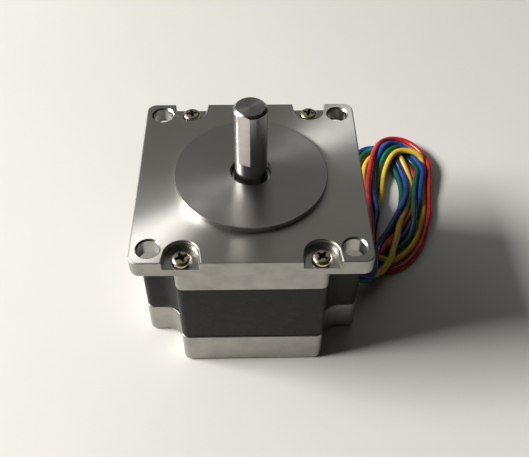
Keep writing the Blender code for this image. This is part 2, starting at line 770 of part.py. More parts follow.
def make_grommet():
    low = (GROMMET_INSIDE_X, EXIT_Y - SLOT_HALF + GAP, SLOT_FLOOR + GAP)
    high = (GROMMET_LIP_X + GAP, EXIT_Y + SLOT_HALF - GAP, REAR_CAP_TOP - GAP)
    grommet = box("lead_grommet", low, high, RUBBER)
    lip_y, lip_z = GROMMET_LIP_HALF
    lip_low = (GROMMET_LIP_X, EXIT_Y - lip_y, EXIT_Z - lip_z - GROMMET_LIP_DROP)
    lip_high = (GROMMET_OUTSIDE_X, EXIT_Y + lip_y, EXIT_Z + lip_z)
    join(grommet, box("grommet_lip", lip_low, lip_high, bevel=GROMMET_LIP_ROUND))
    through = 2 * (GROMMET_OUTSIDE_X - GROMMET_INSIDE_X)
    for colour, (column, row) in LEAD_PLACES.items():
        x = (GROMMET_INSIDE_X + GROMMET_OUTSIDE_X) / 2
        place = Matrix.Translation((x, *lead_exit(column, row)))
        lying = Matrix.Rotation(math.pi / 2, 4, "Y")
        cut(grommet, rod(f"{colour}_lead_hole", LEAD_HOLE_R, through, BALL_STEPS[0], place @ lying))


def lead_exit(column, row):
    """Y and height of a lead's hole in the grommet."""
    return EXIT_Y + column * LEAD_PITCH / 2, EXIT_Z + row * LEAD_PITCH / 2


def make_leads():
    """Each lead's own stretch, from the winding board's edge through the grommet to the hank's side."""
    for colour, (column, row) in LEAD_PLACES.items():
        y, z = lead_exit(column, row)
        end_y, end_z = (value * MM for value in LEAD_ENDS[colour])
        route = [Vector((x, y, z)) for x in (LEAD_START_X, *LEAD_STRAIGHT)]
        route.append(Vector((HANK_SIDE_X, end_y, end_z)))
        tube(f"lead_{colour}", route, LEAD_COLOURS[colour])


def tube(name, route, material):
    curve = bpy.data.curves.new(name, "CURVE")
    curve.dimensions = "3D"
    curve.bevel_depth = LEAD_R
    curve.bevel_resolution = 2
    curve.use_fill_caps = True
    curve.materials.append(material)
    points = smooth_route(route, 3)
    spline = curve.splines.new("POLY")
    spline.points.add(len(points) - 1)
    for point, place in zip(spline.points, points):
        point.co = (*place, 1)
    obj = bpy.data.objects.new(name, curve)
    PARTS.objects.link(obj)


def smooth_route(route, per_span):
    """Points along a smooth open line through the route's own points."""
    padded = [route[0] * 2 - route[1], *route, route[-1] * 2 - route[-2]]
    points = []
    for i in range(len(route) - 1):
        points += [between(*padded[i : i + 4], j / per_span) for j in range(per_span)]
    return [*points, route[-1]]


def make_hank():
    """The outer shape of the leads' two turns, which lie on what the motor stands on."""
    outlines = [smooth_loop(HANK_OUTSIDE, 3), smooth_loop(HANK_WINDOW, 3)]
    plate("lead_hank", outlines, 0, HANK_HEIGHT, LEAD_COLOURS["blue"])


clear_scene()
PARTS = new_collection("stepper_motor")
CUTTERS = new_collection("cutters")
CAST_ALUMINIUM = new_material("cast_aluminium", (0.55, 0.54, 0.52), 0.42, 1.0)
LACQUER = new_material("black_lacquer", (0.018, 0.018, 0.02), 0.4, 0.0)
ZINC = new_material("yellow_zinc", (0.62, 0.52, 0.32), 0.28, 1.0)
GROUND_STEEL = new_material("ground_steel", (0.58, 0.57, 0.56), 0.22, 1.0)
BEARING_STEEL = new_material("bearing_steel", (0.6, 0.6, 0.62), 0.18, 1.0)
BALL_STEEL = new_material("ball_steel", (0.7, 0.7, 0.72), 0.08, 1.0)
SPRING_STEEL = new_material("spring_steel", (0.45, 0.45, 0.46), 0.3, 1.0)
CORE_STEEL = new_material("core_steel", (0.3, 0.3, 0.31), 0.45, 1.0)
MAGNET = new_material("magnet", (0.2, 0.2, 0.21), 0.5, 1.0)
BRASS = new_material("brass", (0.65, 0.5, 0.22), 0.35, 1.0)
COPPER = new_material("copper_winding", (0.55, 0.22, 0.1), 0.35, 1.0)
NYLON = new_material("white_nylon", (0.75, 0.74, 0.7), 0.5, 0.0)
BOARD = new_material("winding_board", (0.04, 0.2, 0.09), 0.45, 0.0)
RUBBER = new_material("black_rubber", (0.02, 0.02, 0.02), 0.7, 0.0)
LEAD_COLOURS = {
    "red": new_material("red_insulation", (0.6, 0.02, 0.02), 0.3, 0.0),
    "blue": new_material("blue_insulation", (0.02, 0.06, 0.4), 0.3, 0.0),
    "green": new_material("green_insulation", (0.01, 0.2, 0.1), 0.3, 0.0),
    "yellow": new_material("yellow_insulation", (0.75, 0.55, 0.06), 0.3, 0.0),
}

ROTOR_AXIS = axis_empty("rotor_axis", 0)
make_front_end_cap()
make_rear_end_cap()
make_tie_screws()
make_stator()
make_insulators()
make_coils()
make_winding_board()
make_wave_spring()
make_shaft(ROTOR_AXIS)
make_rotor_stack(ROTOR_AXIS)
for bearing_end, bearing_middle in BEARING_MIDDLES.items():
    make_bearing(bearing_end, ROTOR_AXIS, axis_empty(f"{bearing_end}_cage_axis", bearing_middle))
make_grommet()
make_leads()
make_hank()
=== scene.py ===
"""The looks of the stepper motor: camera, floor, light, leads, finely made housing pieces and every material.

Lengths are metres in the frame's own axes: +Z along the shaft, the origin in the middle of the rear face.
"""

import math

import bmesh
import bpy
import numpy as np
from mathutils import Matrix, Vector


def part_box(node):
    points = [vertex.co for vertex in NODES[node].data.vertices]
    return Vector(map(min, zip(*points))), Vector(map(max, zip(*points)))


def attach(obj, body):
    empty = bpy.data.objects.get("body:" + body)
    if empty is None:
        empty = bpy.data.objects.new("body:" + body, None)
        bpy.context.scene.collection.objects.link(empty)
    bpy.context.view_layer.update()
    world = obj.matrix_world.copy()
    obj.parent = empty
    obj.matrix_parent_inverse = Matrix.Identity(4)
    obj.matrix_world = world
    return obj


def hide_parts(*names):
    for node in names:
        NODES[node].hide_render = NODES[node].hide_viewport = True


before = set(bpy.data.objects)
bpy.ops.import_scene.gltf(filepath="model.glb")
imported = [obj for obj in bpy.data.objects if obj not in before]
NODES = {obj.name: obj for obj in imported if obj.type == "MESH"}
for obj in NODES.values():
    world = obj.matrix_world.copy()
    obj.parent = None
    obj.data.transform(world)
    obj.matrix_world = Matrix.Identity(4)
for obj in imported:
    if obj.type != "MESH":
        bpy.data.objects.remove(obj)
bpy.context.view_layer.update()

MM = 0.001

# Driving sizes, read from the frame
CAP_LOW, CAP_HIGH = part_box("front_end_cap")
REAR_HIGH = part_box("rear_end_cap")[1]
STATOR_LOW, STATOR_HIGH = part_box("stator_core")
SHAFT_LOW, SHAFT_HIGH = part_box("shaft")
SCREW_LOW, SCREW_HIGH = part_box("tie_screw_1")
GROMMET_LOW, GROMMET_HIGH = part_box("lead_grommet")

# Front flange, its mounting holes and pilot boss
PILOT_TOP = CAP_HIGH.z
FLANGE_TOP = PILOT_TOP - 1.6 * MM
FLANGE_BOTTOM = FLANGE_TOP - 4.6 * MM
FLANGE_HALF = CAP_HIGH.x
FLANGE_CORNER = 2.5 * MM
FLANGE_EDGE = 0.35 * MM
HOLE_OFFSET = 47.14 / 2 * MM
HOLE_R = 2.6 * MM
HOLE_CHAMFER = 0.4 * MM
PILOT_R = 38.1 / 2 * MM
PILOT_EDGE = 0.3 * MM
SHAFT_CLEARANCE_R = 5.1 * MM
SHAFT_MOUTH_R = 5.4 * MM

# Body section: a square cut back at each corner, round the axis of the mounting hole
BODY_HALF = REAR_HIGH.x
STATOR_HALF = STATOR_HIGH.x
RELIEF_R = 5.5 * MM
RELIEF_DRAFT = 8
BODY_EDGE_ROUND = 1.8 * MM
CASTING_EDGE = 0.35 * MM
LAMINATION = 0.5 * MM
LAMINATION_GROOVE = 0.025 * MM

# Tie screws and their pockets
SCREW_X = 16.0 * MM
SCREW_Y = 25.4 * MM
SCREW_R = 1.5 * MM
SCREW_HOLE_R = 1.75 * MM
SCREW_HEAD_R = 2.4 * MM
SCREW_HEAD_HEIGHT = 1.2 * MM
SCREW_HEAD_SHOULDER = 0.85 * MM
THREAD_PITCH = 0.5 * MM
THREAD_DEPTH = 0.28 * MM
THREAD_LENGTH = 8.0 * MM
RECESS_DEPTH = 1.3 * MM
RECESS_ARM = 1.65 * MM
RECESS_HALF_WIDTH = 0.4 * MM
RECESS_TURN = math.radians(25)
POCKET_FLOOR = FLANGE_TOP - 2.3 * MM
POCKET_R = 3.9 * MM
POCKET_DRAFT = 8
POCKET_FLARE = 0.4 * MM
POCKET_FLARE_DEPTH = 1.1 * MM

# Hollows of the end caps
CAVITY_R = 23.3 * MM
FRONT_CAVITY_ROOF = 36.2 * MM
REAR_CAVITY_FLOOR = 2.6 * MM
SEAT_BOSS_R = 12.5 * MM
BEARING_SEAT_R = 9.75 * MM
FRONT_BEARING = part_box("front_bearing_outer_ring")
REAR_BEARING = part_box("rear_bearing_outer_ring")
SEAT_CLEARANCE = 0.3 * MM
WAVE_SPRING_ROOM = 1.2 * MM
REAR_RECESS_R = 6.0 * MM
REAR_RECESS_DEPTH = 0.7 * MM
SLOT_INSIDE_X = 21.8 * MM
SLOT_HALF = 4.0 * MM
SLOT_FLOOR = 3.6 * MM

# Shaft and its flat
SHAFT_R = 4.0 * MM
SHAFT_CHAMFER = 0.6 * MM
FLAT_LENGTH = 15.0 * MM
FLAT_DEPTH = 0.3 * MM
FLAT_ANGLE = math.radians(-115)

# Poles and winding slots of the stator
POLES = 8
TOOTH_PITCH = 2 * math.pi / 50
TOOTH_HALF = math.radians(1.4)
TOOTH_DEPTH = 0.8 * MM
TEETH_PER_POLE = 5
STATOR_TIP_R = 14.8 * MM
SHOE_R = 16.6 * MM
SHOE_HALF_ANGLE = math.radians(17.4)
NECK_HALF = 2.5 * MM

# Leads, in millimetres, as the settling of their routes works in millimetres
LEAD_R = 0.95
LEAD_SPACING = 2 * LEAD_R
LEAD_PITCH = 2.7
LEAD_HOLE_R = 1.05
EXIT_Y = -4.5
EXIT_Z = 7.1
LEAD_START_X = 21.8
LEAD_STRAIGHT = (25.5, 29.9)
HANK_SIDE_X = 31.6
LEAD_PLACES = {"yellow": (1, 1), "red": (1, -1), "blue": (-1, 1), "green": (-1, -1)}
LEAD_ENDS = {"yellow": (-3.6, 7.6), "red": (-3.2, 4.6), "blue": (-5.9, 7.4), "green": (-5.9, 4.6)}
TIP_LENGTH = 5.0
STRAND_COUNT = 7
STRAND_R = 0.21
STRAND_LAY = 5.5

# Facets and small gaps
ARC_STEP = math.radians(7.5)
FINE_STEPS = 144
STEPS = 72
HOLE_STEPS = 48
DOME_STEPS = 9
STRAND_SIDES = 8
STRAND_STEPS = 12
OVER = 0.3 * MM
NEAR = 0.05 * MM
LEVEL = 0.99

# Rounded edges, as shares of their depth and of their width
FLANGE_ROUNDING = ((0.0, 1.0), (0.1, 0.55), (0.45, 0.15), (1.0, 0.0))
POCKET_ROUNDING = ((1.0, 0.0), (0.62, 0.08), (0.33, 0.26), (0.12, 0.55), (0.0, 1.0))

# Heights above the pocket's floor and insets; depths below a screw's top and radii; all in millimetres
POCKET_FOOT = ((0, 0.25), (0.08, 0.08), (0.25, 0))
RECESS_MIDDLE = ((1.35, 0.25), (0.75, 0.62), (-0.3, 0.95))

# The camera, and the room round the motor
CAMERA_LENS = 48.135
CAMERA_PLACE = (-0.000085, -0.126778, 0.164295)
CAMERA_TURN = (41.485, -0.445, -1.121)
ROOM_DARK = (0.012, 0.012, 0.0115)
BACKDROP = (0.36, 0.35, 0.33, 1)
ROOM_PATCHES = (
    ((-0.15, 0.6, 0.79), 0.66, 0.95, (0.235, 0.228, 0.213)),
    ((-0.80, 0.40, 0.45), 0.90, 0.98, (0.95, 1.0, 1.0)),
)


# Camera, light and floor


def make_camera():
    data = bpy.data.cameras.new("camera")
    data.sensor_width = 36
    data.lens = CAMERA_LENS
    data.clip_start = 0.01
    data.clip_end = 20
    camera = bpy.data.objects.new("camera", data)
    camera.location = CAMERA_PLACE
    camera.rotation_euler = [math.radians(angle) for angle in CAMERA_TURN]
    bpy.context.scene.collection.objects.link(camera)
    bpy.context.scene.camera = camera


def make_light(name, direction, distance, size, power, colour):
    """A rectangular lamp that faces the motor from the given direction."""
    data = bpy.data.lights.new(name, "AREA")
    data.shape = "RECTANGLE"
    data.size, data.size_y = size
    data.energy = power
    data.color = colour
    light = bpy.data.objects.new(name, data)
    place = Vector(direction).normalized() * distance
    light.location = place
    light.rotation_euler = place.to_track_quat("Z", "Y").to_euler()
    bpy.context.scene.collection.objects.link(light)


def make_world():
    """A dark room with a pale ceiling patch and a second window low on the left, before a grey backdrop."""
    world = bpy.data.worlds.new("room")
    bpy.context.scene.world = world
    world.use_nodes = True
    tree = world.node_tree
    place = tree.nodes.new("ShaderNodeTexCoord").outputs["Generated"]
    total = None
    for direction, wide, narrow, colour in ROOM_PATCHES:
        facing = tree.nodes.new("ShaderNodeVectorMath")
        facing.operation = "DOT_PRODUCT"
        facing.inputs[1].default_value = Vector(direction).normalized()
        tree.links.new(place, facing.inputs[0])
        fade = tree.nodes.new("ShaderNodeMapRange")
        fade.interpolation_type = "SMOOTHSTEP"
        fade.inputs["From Min"].default_value = wide
        fade.inputs["From Max"].default_value = narrow
        tree.links.new(facing.outputs["Value"], fade.inputs["Value"])
        patch = tree.nodes.new("ShaderNodeVectorMath")
        patch.operation = "MULTIPLY_ADD"
        patch.inputs[1].default_value = colour
        patch.inputs[2].default_value = ROOM_DARK
        tree.links.new(fade.outputs[0], patch.inputs[0])
        if total:
            tree.links.new(total, patch.inputs[2])
        total = patch.outputs[0]
    seen = tree.nodes.new("ShaderNodeLightPath").outputs["Is Camera Ray"]
    backdrop = tree.nodes.new("ShaderNodeMix")
    backdrop.data_type = "RGBA"
    colours = [socket for socket in backdrop.inputs if socket.type == "RGBA"]
    colours[1].default_value = BACKDROP
    tree.links.new(seen, backdrop.inputs["Factor"])
    tree.links.new(total, colours[0])
    mixed = next(socket for socket in backdrop.outputs if socket.type == "RGBA")
    tree.links.new(mixed, tree.nodes["Background"].inputs["Color"])


def make_floor():
    mesh = bpy.data.meshes.new("floor")
    side = 2.0
    corners = [(-side, -side, 0), (side, -side, 0), (side, side, 0), (-side, side, 0)]
    mesh.from_pydata(corners, [], [(0, 1, 2, 3)])
    floor = bpy.data.objects.new("floor", mesh)
    bpy.context.scene.collection.objects.link(floor)
    mesh.materials.append(FLOOR)


# Outlines in the XY plane, each as a function of how far it is drawn in


def arc(centre, radius, start, end):
    """Points along an arc, ends included. Angles in degrees."""
    start, end = math.radians(start), math.radians(end)
    count = max(2, round(abs(end - start) / ARC_STEP))
    angles = [start + (end - start) * i / count for i in range(count + 1)]
    return [(centre[0] + radius * math.cos(a), centre[1] + radius * math.sin(a)) for a in angles]


def polar(radius, angle):
    return (radius * math.cos(angle), radius * math.sin(angle))


def four_times(quarter):
    """A quarter's points, repeated at each quarter turn."""
    outline = []
    for turn in range(4):
        spin = Matrix.Rotation(turn * math.pi / 2, 2)
        outline += [tuple(spin @ Vector(point)) for point in quarter]
    return outline


def flange_outline(inset):
    middle = FLANGE_HALF - FLANGE_CORNER
    return four_times(arc((middle, middle), FLANGE_CORNER - inset, 0, 90))


def body_outline(half):
    """The body's section drawn in by an inset: two edge rounds and the relief arc at each corner."""
    wall = HOLE_OFFSET - RELIEF_R - BODY_EDGE_ROUND
    inner = half - BODY_EDGE_ROUND
    hole = (HOLE_OFFSET, HOLE_OFFSET)

    def outline(inset):
        rounding = BODY_EDGE_ROUND - inset
        quarter = arc((inner, wall), rounding, 0, 90)
        quarter += arc(hole, RELIEF_R + inset, 270 - RELIEF_DRAFT, 180 + RELIEF_DRAFT)
        quarter += arc((wall, inner), rounding, 0, 90)
        return four_times(quarter)

    return outline


def circle_outline(radius, steps, centre=(0, 0)):
    def outline(inset):
        points = [polar(radius - inset, 2 * math.pi * i / steps) for i in range(steps)]
        return [(centre[0] + x, centre[1] + y) for x, y in points]

    return outline


def rectangle_outline(low, high):
    def outline(inset):
        return [(low[0], low[1]), (high[0], low[1]), (high[0], high[1]), (low[0], high[1])]

    return outline


def half_pole():
    """From the middle of a winding slot to the middle of a pole's tip, as radius and angle from the pole."""
    points = [
        (CAVITY_R, -math.pi / POLES),
        (CAVITY_R, -math.asin(NECK_HALF / CAVITY_R)),
        (SHOE_R, -math.asin(NECK_HALF / SHOE_R)),
        (SHOE_R - 0.4 * MM, -SHOE_HALF_ANGLE),
        (STATOR_TIP_R + TOOTH_DEPTH, -SHOE_HALF_ANGLE),
    ]
    for tooth in range(-(TEETH_PER_POLE // 2), 1):
        middle = tooth * TOOTH_PITCH
        points.append((STATOR_TIP_R + TOOTH_DEPTH, middle - TOOTH_HALF))
        points.append((STATOR_TIP_R, middle - TOOTH_HALF))
        if tooth < 0:
            points.append((STATOR_TIP_R, middle + TOOTH_HALF))
            points.append((STATOR_TIP_R + TOOTH_DEPTH, middle + TOOTH_HALF))
    return points


def stator_bore(inset):
    """The opening inside the stator: toothed pole tips and the winding slots between their necks."""
    half = half_pole()
    pole = half + [(radius, -angle) for radius, angle in reversed(half[1:])]
    outline = []
    for index in range(POLES):
        turn = index * 2 * math.pi / POLES
        outline += [polar(radius - inset, angle + turn) for radius, angle in pole]
    return outline


# Solids


def new_piece(name, mesh):
    obj = bpy.data.objects.new(name, mesh)
    bpy.context.scene.collection.objects.link(obj)
    return obj


def piece_from(name, shape):
    mesh = bpy.data.meshes.new(name)
    shape.to_mesh(mesh)
    shape.free()
    return new_piece(name, mesh)


def skin(shape, rings):
    """Faces from each ring of points to the next, and one over each end."""
    count = len(rings[0])
    for low, high in zip(rings, rings[1:]):
        for i in range(count):
            j = (i + 1) % count
            shape.faces.new((low[i], low[j], high[j], high[i]))
    shape.faces.new(list(reversed(rings[0])))
    shape.faces.new(rings[-1])


def slab(name, outline, levels):
    """A closed mesh through an outline at each level, bottom to top: a level is a height and an inset."""
    shape = bmesh.new()
    skin(shape, [[shape.verts.new((x, y, height)) for x, y in outline(inset)] for height, inset in levels])
    return piece_from(name, shape)


def turned(name, profile, steps, centre=(0, 0)):
    """A solid of revolution about an upright axis: the profile is height and radius, bottom to top."""
    return slab(name, circle_outline(0, steps, centre), [(height, -radius) for height, radius in profile])


def block(name, low, high):
    return slab(name, rectangle_outline(low, high), [(low[2], 0), (high[2], 0)])


def combine(obj, others, operation="DIFFERENCE"):
    """Cuts or joins the others into the object, one after another, and removes them."""
    for other in others:
        step = obj.modifiers.new(other.name, "BOOLEAN")
        step.operation = operation
        step.object = other
    graph = bpy.context.evaluated_depsgraph_get()
    mesh = bpy.data.meshes.new_from_object(obj.evaluated_get(graph))
    mesh.name = obj.name
    obj.modifiers.clear()
    obj.data = mesh
    for other in others:
        bpy.data.objects.remove(other)


def shade(obj, angle=32):
    """Smooth across gentle edges only, with the large flat faces kept flat."""
    obj.data.shade_smooth()
    obj.data.set_sharp_from_angle(angle=math.radians(angle))
    normals = obj.modifiers.new("normals", "WEIGHTED_NORMAL")
    normals.keep_sharp = True
    normals.weight = 100


def cover(obj, materials, choose=None):
    """Gives the object its materials; choose picks one for each face by its centre and normal."""
    obj.data.materials.clear()
    for material in materials:
        obj.data.materials.append(material)
    for face in obj.data.polygons:
        face.material_index = choose(face.center, face.normal) if choose else 0


def belongs(obj, body, slot, *nodes):
    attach(obj, body)
    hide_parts(*nodes)


# Materials


class Surface:
    """A material being built: its Principled shader and short ways to add the nodes that pattern it."""

    def __init__(self, name, colour, roughness, metallic=0.0):
        self.material = bpy.data.materials.new(name)
        self.material.use_nodes = True
        self.tree = self.material.node_tree
        self.shader = self.tree.nodes["Principled BSDF"]
        self.colour = colour
        self.set("Base Color", (*colour, 1))
        self.set("Roughness", roughness)
        self.set("Metallic", metallic)
        self.place = self.node("TexCoord").outputs["Object"]
        self.height = None

    def set(self, socket, value):
        self.shader.inputs[socket].default_value = value

    def node(self, kind, **settings):
        made = self.tree.nodes.new("ShaderNode" + kind)
        for key, value in settings.items():
            setattr(made, key, value)
        return made

    def link(self, output, target):
        self.tree.links.new(output, target)

    def noise(self, scale, detail=3.0, roughness=0.55):
        """A noise whose features are about 1 / scale metres."""
        made = self.node("TexNoise")
        made.inputs["Scale"].default_value = scale
        made.inputs["Detail"].default_value = detail
        made.inputs["Roughness"].default_value = roughness
        self.link(self.place, made.inputs["Vector"])
        return made.outputs["Fac"]

    def from_axis(self):
        """Distance from the shaft's axis, in metres."""
        flat = self.node("VectorMath", operation="MULTIPLY")
        flat.inputs[1].default_value = (1, 1, 0)
        self.link(self.place, flat.inputs[0])
        length = self.node("VectorMath", operation="LENGTH")
        self.link(flat.outputs[0], length.inputs[0])
        return length.outputs["Value"]

    def rings(self, value, scale, detail=4.0):
        """Uneven fine lines across a distance, as a tool or a grinding wheel leaves them."""
        made = self.node("TexNoise", noise_dimensions="1D")
        made.inputs["Scale"].default_value = scale
        made.inputs["Detail"].default_value = detail
        made.inputs["Roughness"].default_value = 0.7
        self.link(value, made.inputs["W"])
        return made.outputs["Fac"]

    def along(self, axis):
        split = self.node("SeparateXYZ")
        self.link(self.place, split.inputs[0])
        return split.outputs[axis]

    def tint(self, value, dark, light, near=0.3, far=0.7):
        """Colour between two shades by a pattern, each given as a factor or a colour."""
        ramp = self.node("ValToRGB")
        for element, at, shade_of in zip(ramp.color_ramp.elements, (near, far), (dark, light)):
            element.position = at
            if isinstance(shade_of, (int, float)):
                shade_of = [shade_of * channel for channel in self.colour]
            element.color = (*shade_of, 1)
        self.link(value, ramp.inputs[0])
        self.link(ramp.outputs[0], self.shader.inputs["Base Color"])

    def rough(self, value, low, high):
        """Roughness between two values by a pattern, across its usual range."""
        made = self.node("MapRange")
        for socket, number in (("From Min", 0.3), ("From Max", 0.7), ("To Min", low), ("To Max", high)):
            made.inputs[socket].default_value = number
        self.link(value, made.inputs["Value"])
        self.link(made.outputs[0], self.shader.inputs["Roughness"])

    def relief(self, value, depth):
        """Adds a bump of the given depth in metres; several bumps add up."""
        bump = self.node("Bump")
        bump.inputs["Strength"].default_value = 1.0
        bump.inputs["Distance"].default_value = depth
        self.link(value, bump.inputs["Height"])
        if self.height:
            self.link(self.height, bump.inputs["Normal"])
        self.height = bump.outputs[0]
        self.link(self.height, self.shader.inputs["Normal"])

    def brushed_round(self, strength):
        """Highlights drawn out across lines that run round the shaft's axis."""
        tangent = self.node("Tangent", direction_type="RADIAL", axis="Z")
        self.link(tangent.outputs[0], self.shader.inputs["Tangent"])
        self.set("Anisotropic", strength)
        self.set("Anisotropic Rotation", 0.25)


def cast_aluminium():
    made = Surface("cast_aluminium", (0.41, 0.395, 0.365), 0.42, 1.0)
    patches = made.noise(180, 3)
    grain = made.noise(2600, 4, 0.6)
    made.tint(patches, 0.86, 1.08)
    made.rough(grain, 0.36, 0.5)
    made.relief(made.noise(5200, 3, 0.65), 2e-5)
    made.relief(made.noise(420, 2), 6e-5)
    return made.material


def turned_aluminium():
    """The flange's face, machined in rings about the shaft."""
    made = Surface("turned_aluminium", (0.60, 0.585, 0.56), 0.3, 1.0)
    lines = made.rings(made.from_axis(), 9000)
    made.tint(lines, 0.93, 1.05)
    made.rough(made.noise(90, 3), 0.34, 0.38)
    made.brushed_round(0.92)
    made.relief(lines, 1.2e-6)
    return made.material


def pilot_aluminium():
    """The pilot's face, turned finer and duller than the flange round it."""
    made = Surface("pilot_aluminium", (0.41, 0.40, 0.39), 0.36, 1.0)
    lines = made.rings(made.from_axis(), 14000)
    made.tint(lines, 0.94, 1.04)
    made.rough(made.noise(140, 4), 0.33, 0.4)
    made.brushed_round(0.6)
    made.relief(lines, 1e-6)
    return made.material


def bored_aluminium():
    """Walls and chamfers of holes, pockets and the pilot: bright from the cutter."""
    made = Surface("bored_aluminium", (0.44, 0.43, 0.415), 0.2, 1.0)
    made.tint(made.rings(made.along("Z"), 6000), 0.9, 1.05)
    made.rough(made.noise(400, 2), 0.27, 0.31)
    return made.material


def stator_lacquer():
    made = Surface("stator_lacquer", (0.007, 0.0072, 0.008), 0.42)
    made.set("Specular IOR Level", 0.28)
    made.tint(made.noise(240, 4), 0.75, 1.3)
    made.rough(made.noise(1500, 3), 0.34, 0.5)
    made.relief(made.noise(2400, 3, 0.6), 1.2e-5)
    made.relief(made.rings(made.along("Z"), 2200, 2.0), 1.2e-5)
    return made.material


def yellow_zinc():
    made = Surface("yellow_zinc", (0.62, 0.57, 0.40), 0.24, 1.0)
    made.tint(made.noise(900, 3), (0.56, 0.56, 0.50), (0.64, 0.54, 0.30))
    made.rough(made.noise(3000, 3), 0.16, 0.32)
    made.relief(made.noise(4000, 2), 4e-6)
    return made.material


def ground_steel():
    """The shaft's sides, with the fine lines of centreless grinding round it."""
    made = Surface("ground_steel", (0.46, 0.45, 0.44), 0.24, 1.0)
    lines = made.rings(made.along("Z"), 9000)
    made.tint(lines, 0.88, 1.08)
    made.rough(made.noise(160, 2), 0.25, 0.28)
    made.relief(lines, 4e-7)
    return made.material


def milled_steel():
    """The shaft's flat, milled to a matt finish."""
    made = Surface("milled_steel", (0.72, 0.665, 0.64), 0.5, 0.7)
    made.tint(made.rings(made.along("Z"), 900), 0.95, 1.03)
    made.rough(made.noise(200, 2), 0.48, 0.54)
    return made.material


def turned_steel():
    """The shaft's ends, faced in rings."""
    made = Surface("turned_steel", (0.36, 0.35, 0.34), 0.3, 1.0)
    lines = made.rings(made.from_axis(), 6000)
    made.tint(lines, 0.88, 1.06)
    made.rough(made.noise(700, 3), 0.26, 0.36)
    made.brushed_round(0.7)
    made.relief(lines, 2e-6)
    return made.material


def fine_metal(name, colour, low, high, depth=3e-6):
    """A plain metal: colour and shine that vary a little, and a faint grain."""
    made = Surface(name, colour, high, 1.0)
    made.tint(made.noise(300, 3), 0.88, 1.08)
    made.rough(made.noise(1800, 3), low, high)
    made.relief(made.noise(3600, 3), depth)
    return made.material


def core_steel():
    """Stamped laminations, seen as fine lines up the stack."""
    made = Surface("core_steel", (0.30, 0.30, 0.31), 0.45, 1.0)
    wave = made.node("TexWave", bands_direction="Z")
    wave.inputs["Scale"].default_value = 314.16
    made.link(made.place, wave.inputs["Vector"])
    made.tint(wave.outputs["Fac"], 0.55, 1.1, 0.0, 0.35)
    made.rough(made.noise(2000, 3), 0.35, 0.5)
    made.relief(wave.outputs["Fac"], 2e-5)
    return made.material


def magnet():
    made = Surface("magnet", (0.19, 0.19, 0.2), 0.5, 1.0)
    made.tint(made.noise(2600, 4), 0.8, 1.2)
    made.rough(made.noise(1200, 3), 0.42, 0.6)
    made.relief(made.noise(3500, 3), 1e-5)
    return made.material


def copper_winding():
    """Enamelled wire laid turn on turn; the bands cross a coil as its layers do."""
    made = Surface("copper_winding", (0.55, 0.22, 0.09), 0.3, 1.0)
    turns = made.rings(made.from_axis(), 3000, 0.0)
    made.tint(turns, (0.28, 0.09, 0.035), (0.62, 0.26, 0.11), 0.35, 0.6)
    made.rough(made.noise(900, 3), 0.24, 0.36)
    made.relief(turns, 8e-5)
    made.set("Coat Weight", 0.4)
    return made.material


def moulded(name, colour, low, high, depth=1.2e-5):
    """Plastic or rubber: a faint mottle and a fine moulded grain."""
    made = Surface(name, colour, high)
    made.tint(made.noise(200, 3), 0.9, 1.06)
    made.rough(made.noise(1600, 3), low, high)
    made.relief(made.noise(4000, 2), depth)
    return made.material


def insulation(colour_name, dark, light):
    """Glossy wire insulation, a little uneven in tone and thickness."""
    made = Surface(f"{colour_name}_insulation", light, 0.3)
    made.tint(made.noise(130, 3), dark, light, 0.35, 0.65)
    made.rough(made.noise(700, 3), 0.24, 0.36)
    made.relief(made.noise(500, 2), 3e-5)
    made.set("Coat Weight", 0.25)
    made.set("Coat Roughness", 0.2)
    return made.material


def tinned_copper():
    made = Surface("tinned_copper", (0.62, 0.56, 0.48), 0.3, 1.0)
    made.tint(made.noise(1800, 3), (0.6, 0.42, 0.28), (0.68, 0.66, 0.62))
    made.rough(made.noise(2500, 3), 0.22, 0.4)
    return made.material


def pale_table():
    made = Surface("pale_table", (0.80, 0.785, 0.75), 0.5)
    made.tint(made.noise(14, 2), 0.985, 1.01)
    made.rough(made.noise(300, 3), 0.45, 0.55)
    return made.material


# Housing


def screw_places():
    """The tie screws, anticlockwise from the front left."""
    signs = ((-1, -1), (1, -1), (1, 1), (-1, 1))
    return [(x * SCREW_X, y * SCREW_Y) for x, y in signs]


def screw_holes(bottom, top):
    holes = []
    for index, place in enumerate(screw_places(), 1):
        levels = [(bottom, SCREW_HOLE_R), (top, SCREW_HOLE_R)]
        holes.append(turned(f"screw_hole_{index}", levels, HOLE_STEPS, place))
    return holes


def pocket(index, place):
    """A screw head's pocket: round inwards, wider towards the flange's edge, with a flared mouth."""
    x, y = place
    start = 180 if y > 0 else 0
    far = y + math.copysign(POCKET_R * 2, y)

    def outline(inset):
        points = arc(place, POCKET_R - inset, start + POCKET_DRAFT, start + 180 - POCKET_DRAFT)
        spread = abs(far - points[0][1]) * math.tan(math.radians(POCKET_DRAFT))
        for side in (points[-1][0], points[0][0]):
            points.append((side + math.copysign(spread, side - x), far))
        return points

    levels = [(POCKET_FLOOR + up * MM, inset * MM) for up, inset in POCKET_FOOT]
    levels += [(FLANGE_TOP - POCKET_FLARE_DEPTH * deep, -POCKET_FLARE * out) for deep, out in POCKET_ROUNDING]
    levels += [(FLANGE_TOP + OVER, -POCKET_FLARE - 1.6 * OVER)]
    return slab(f"pocket_{index}", outline, levels)


def mounting_hole(index, place):
    over = 0.2 * MM
    wide = HOLE_R + HOLE_CHAMFER
    levels = [(FLANGE_BOTTOM - over, wide + over), (FLANGE_BOTTOM, wide)]
    levels += [(FLANGE_BOTTOM + HOLE_CHAMFER, HOLE_R), (FLANGE_TOP - HOLE_CHAMFER, HOLE_R)]
    levels += [(FLANGE_TOP, wide), (FLANGE_TOP + over, wide + over)]
    return turned(f"mounting_hole_{index}", levels, HOLE_STEPS, place)


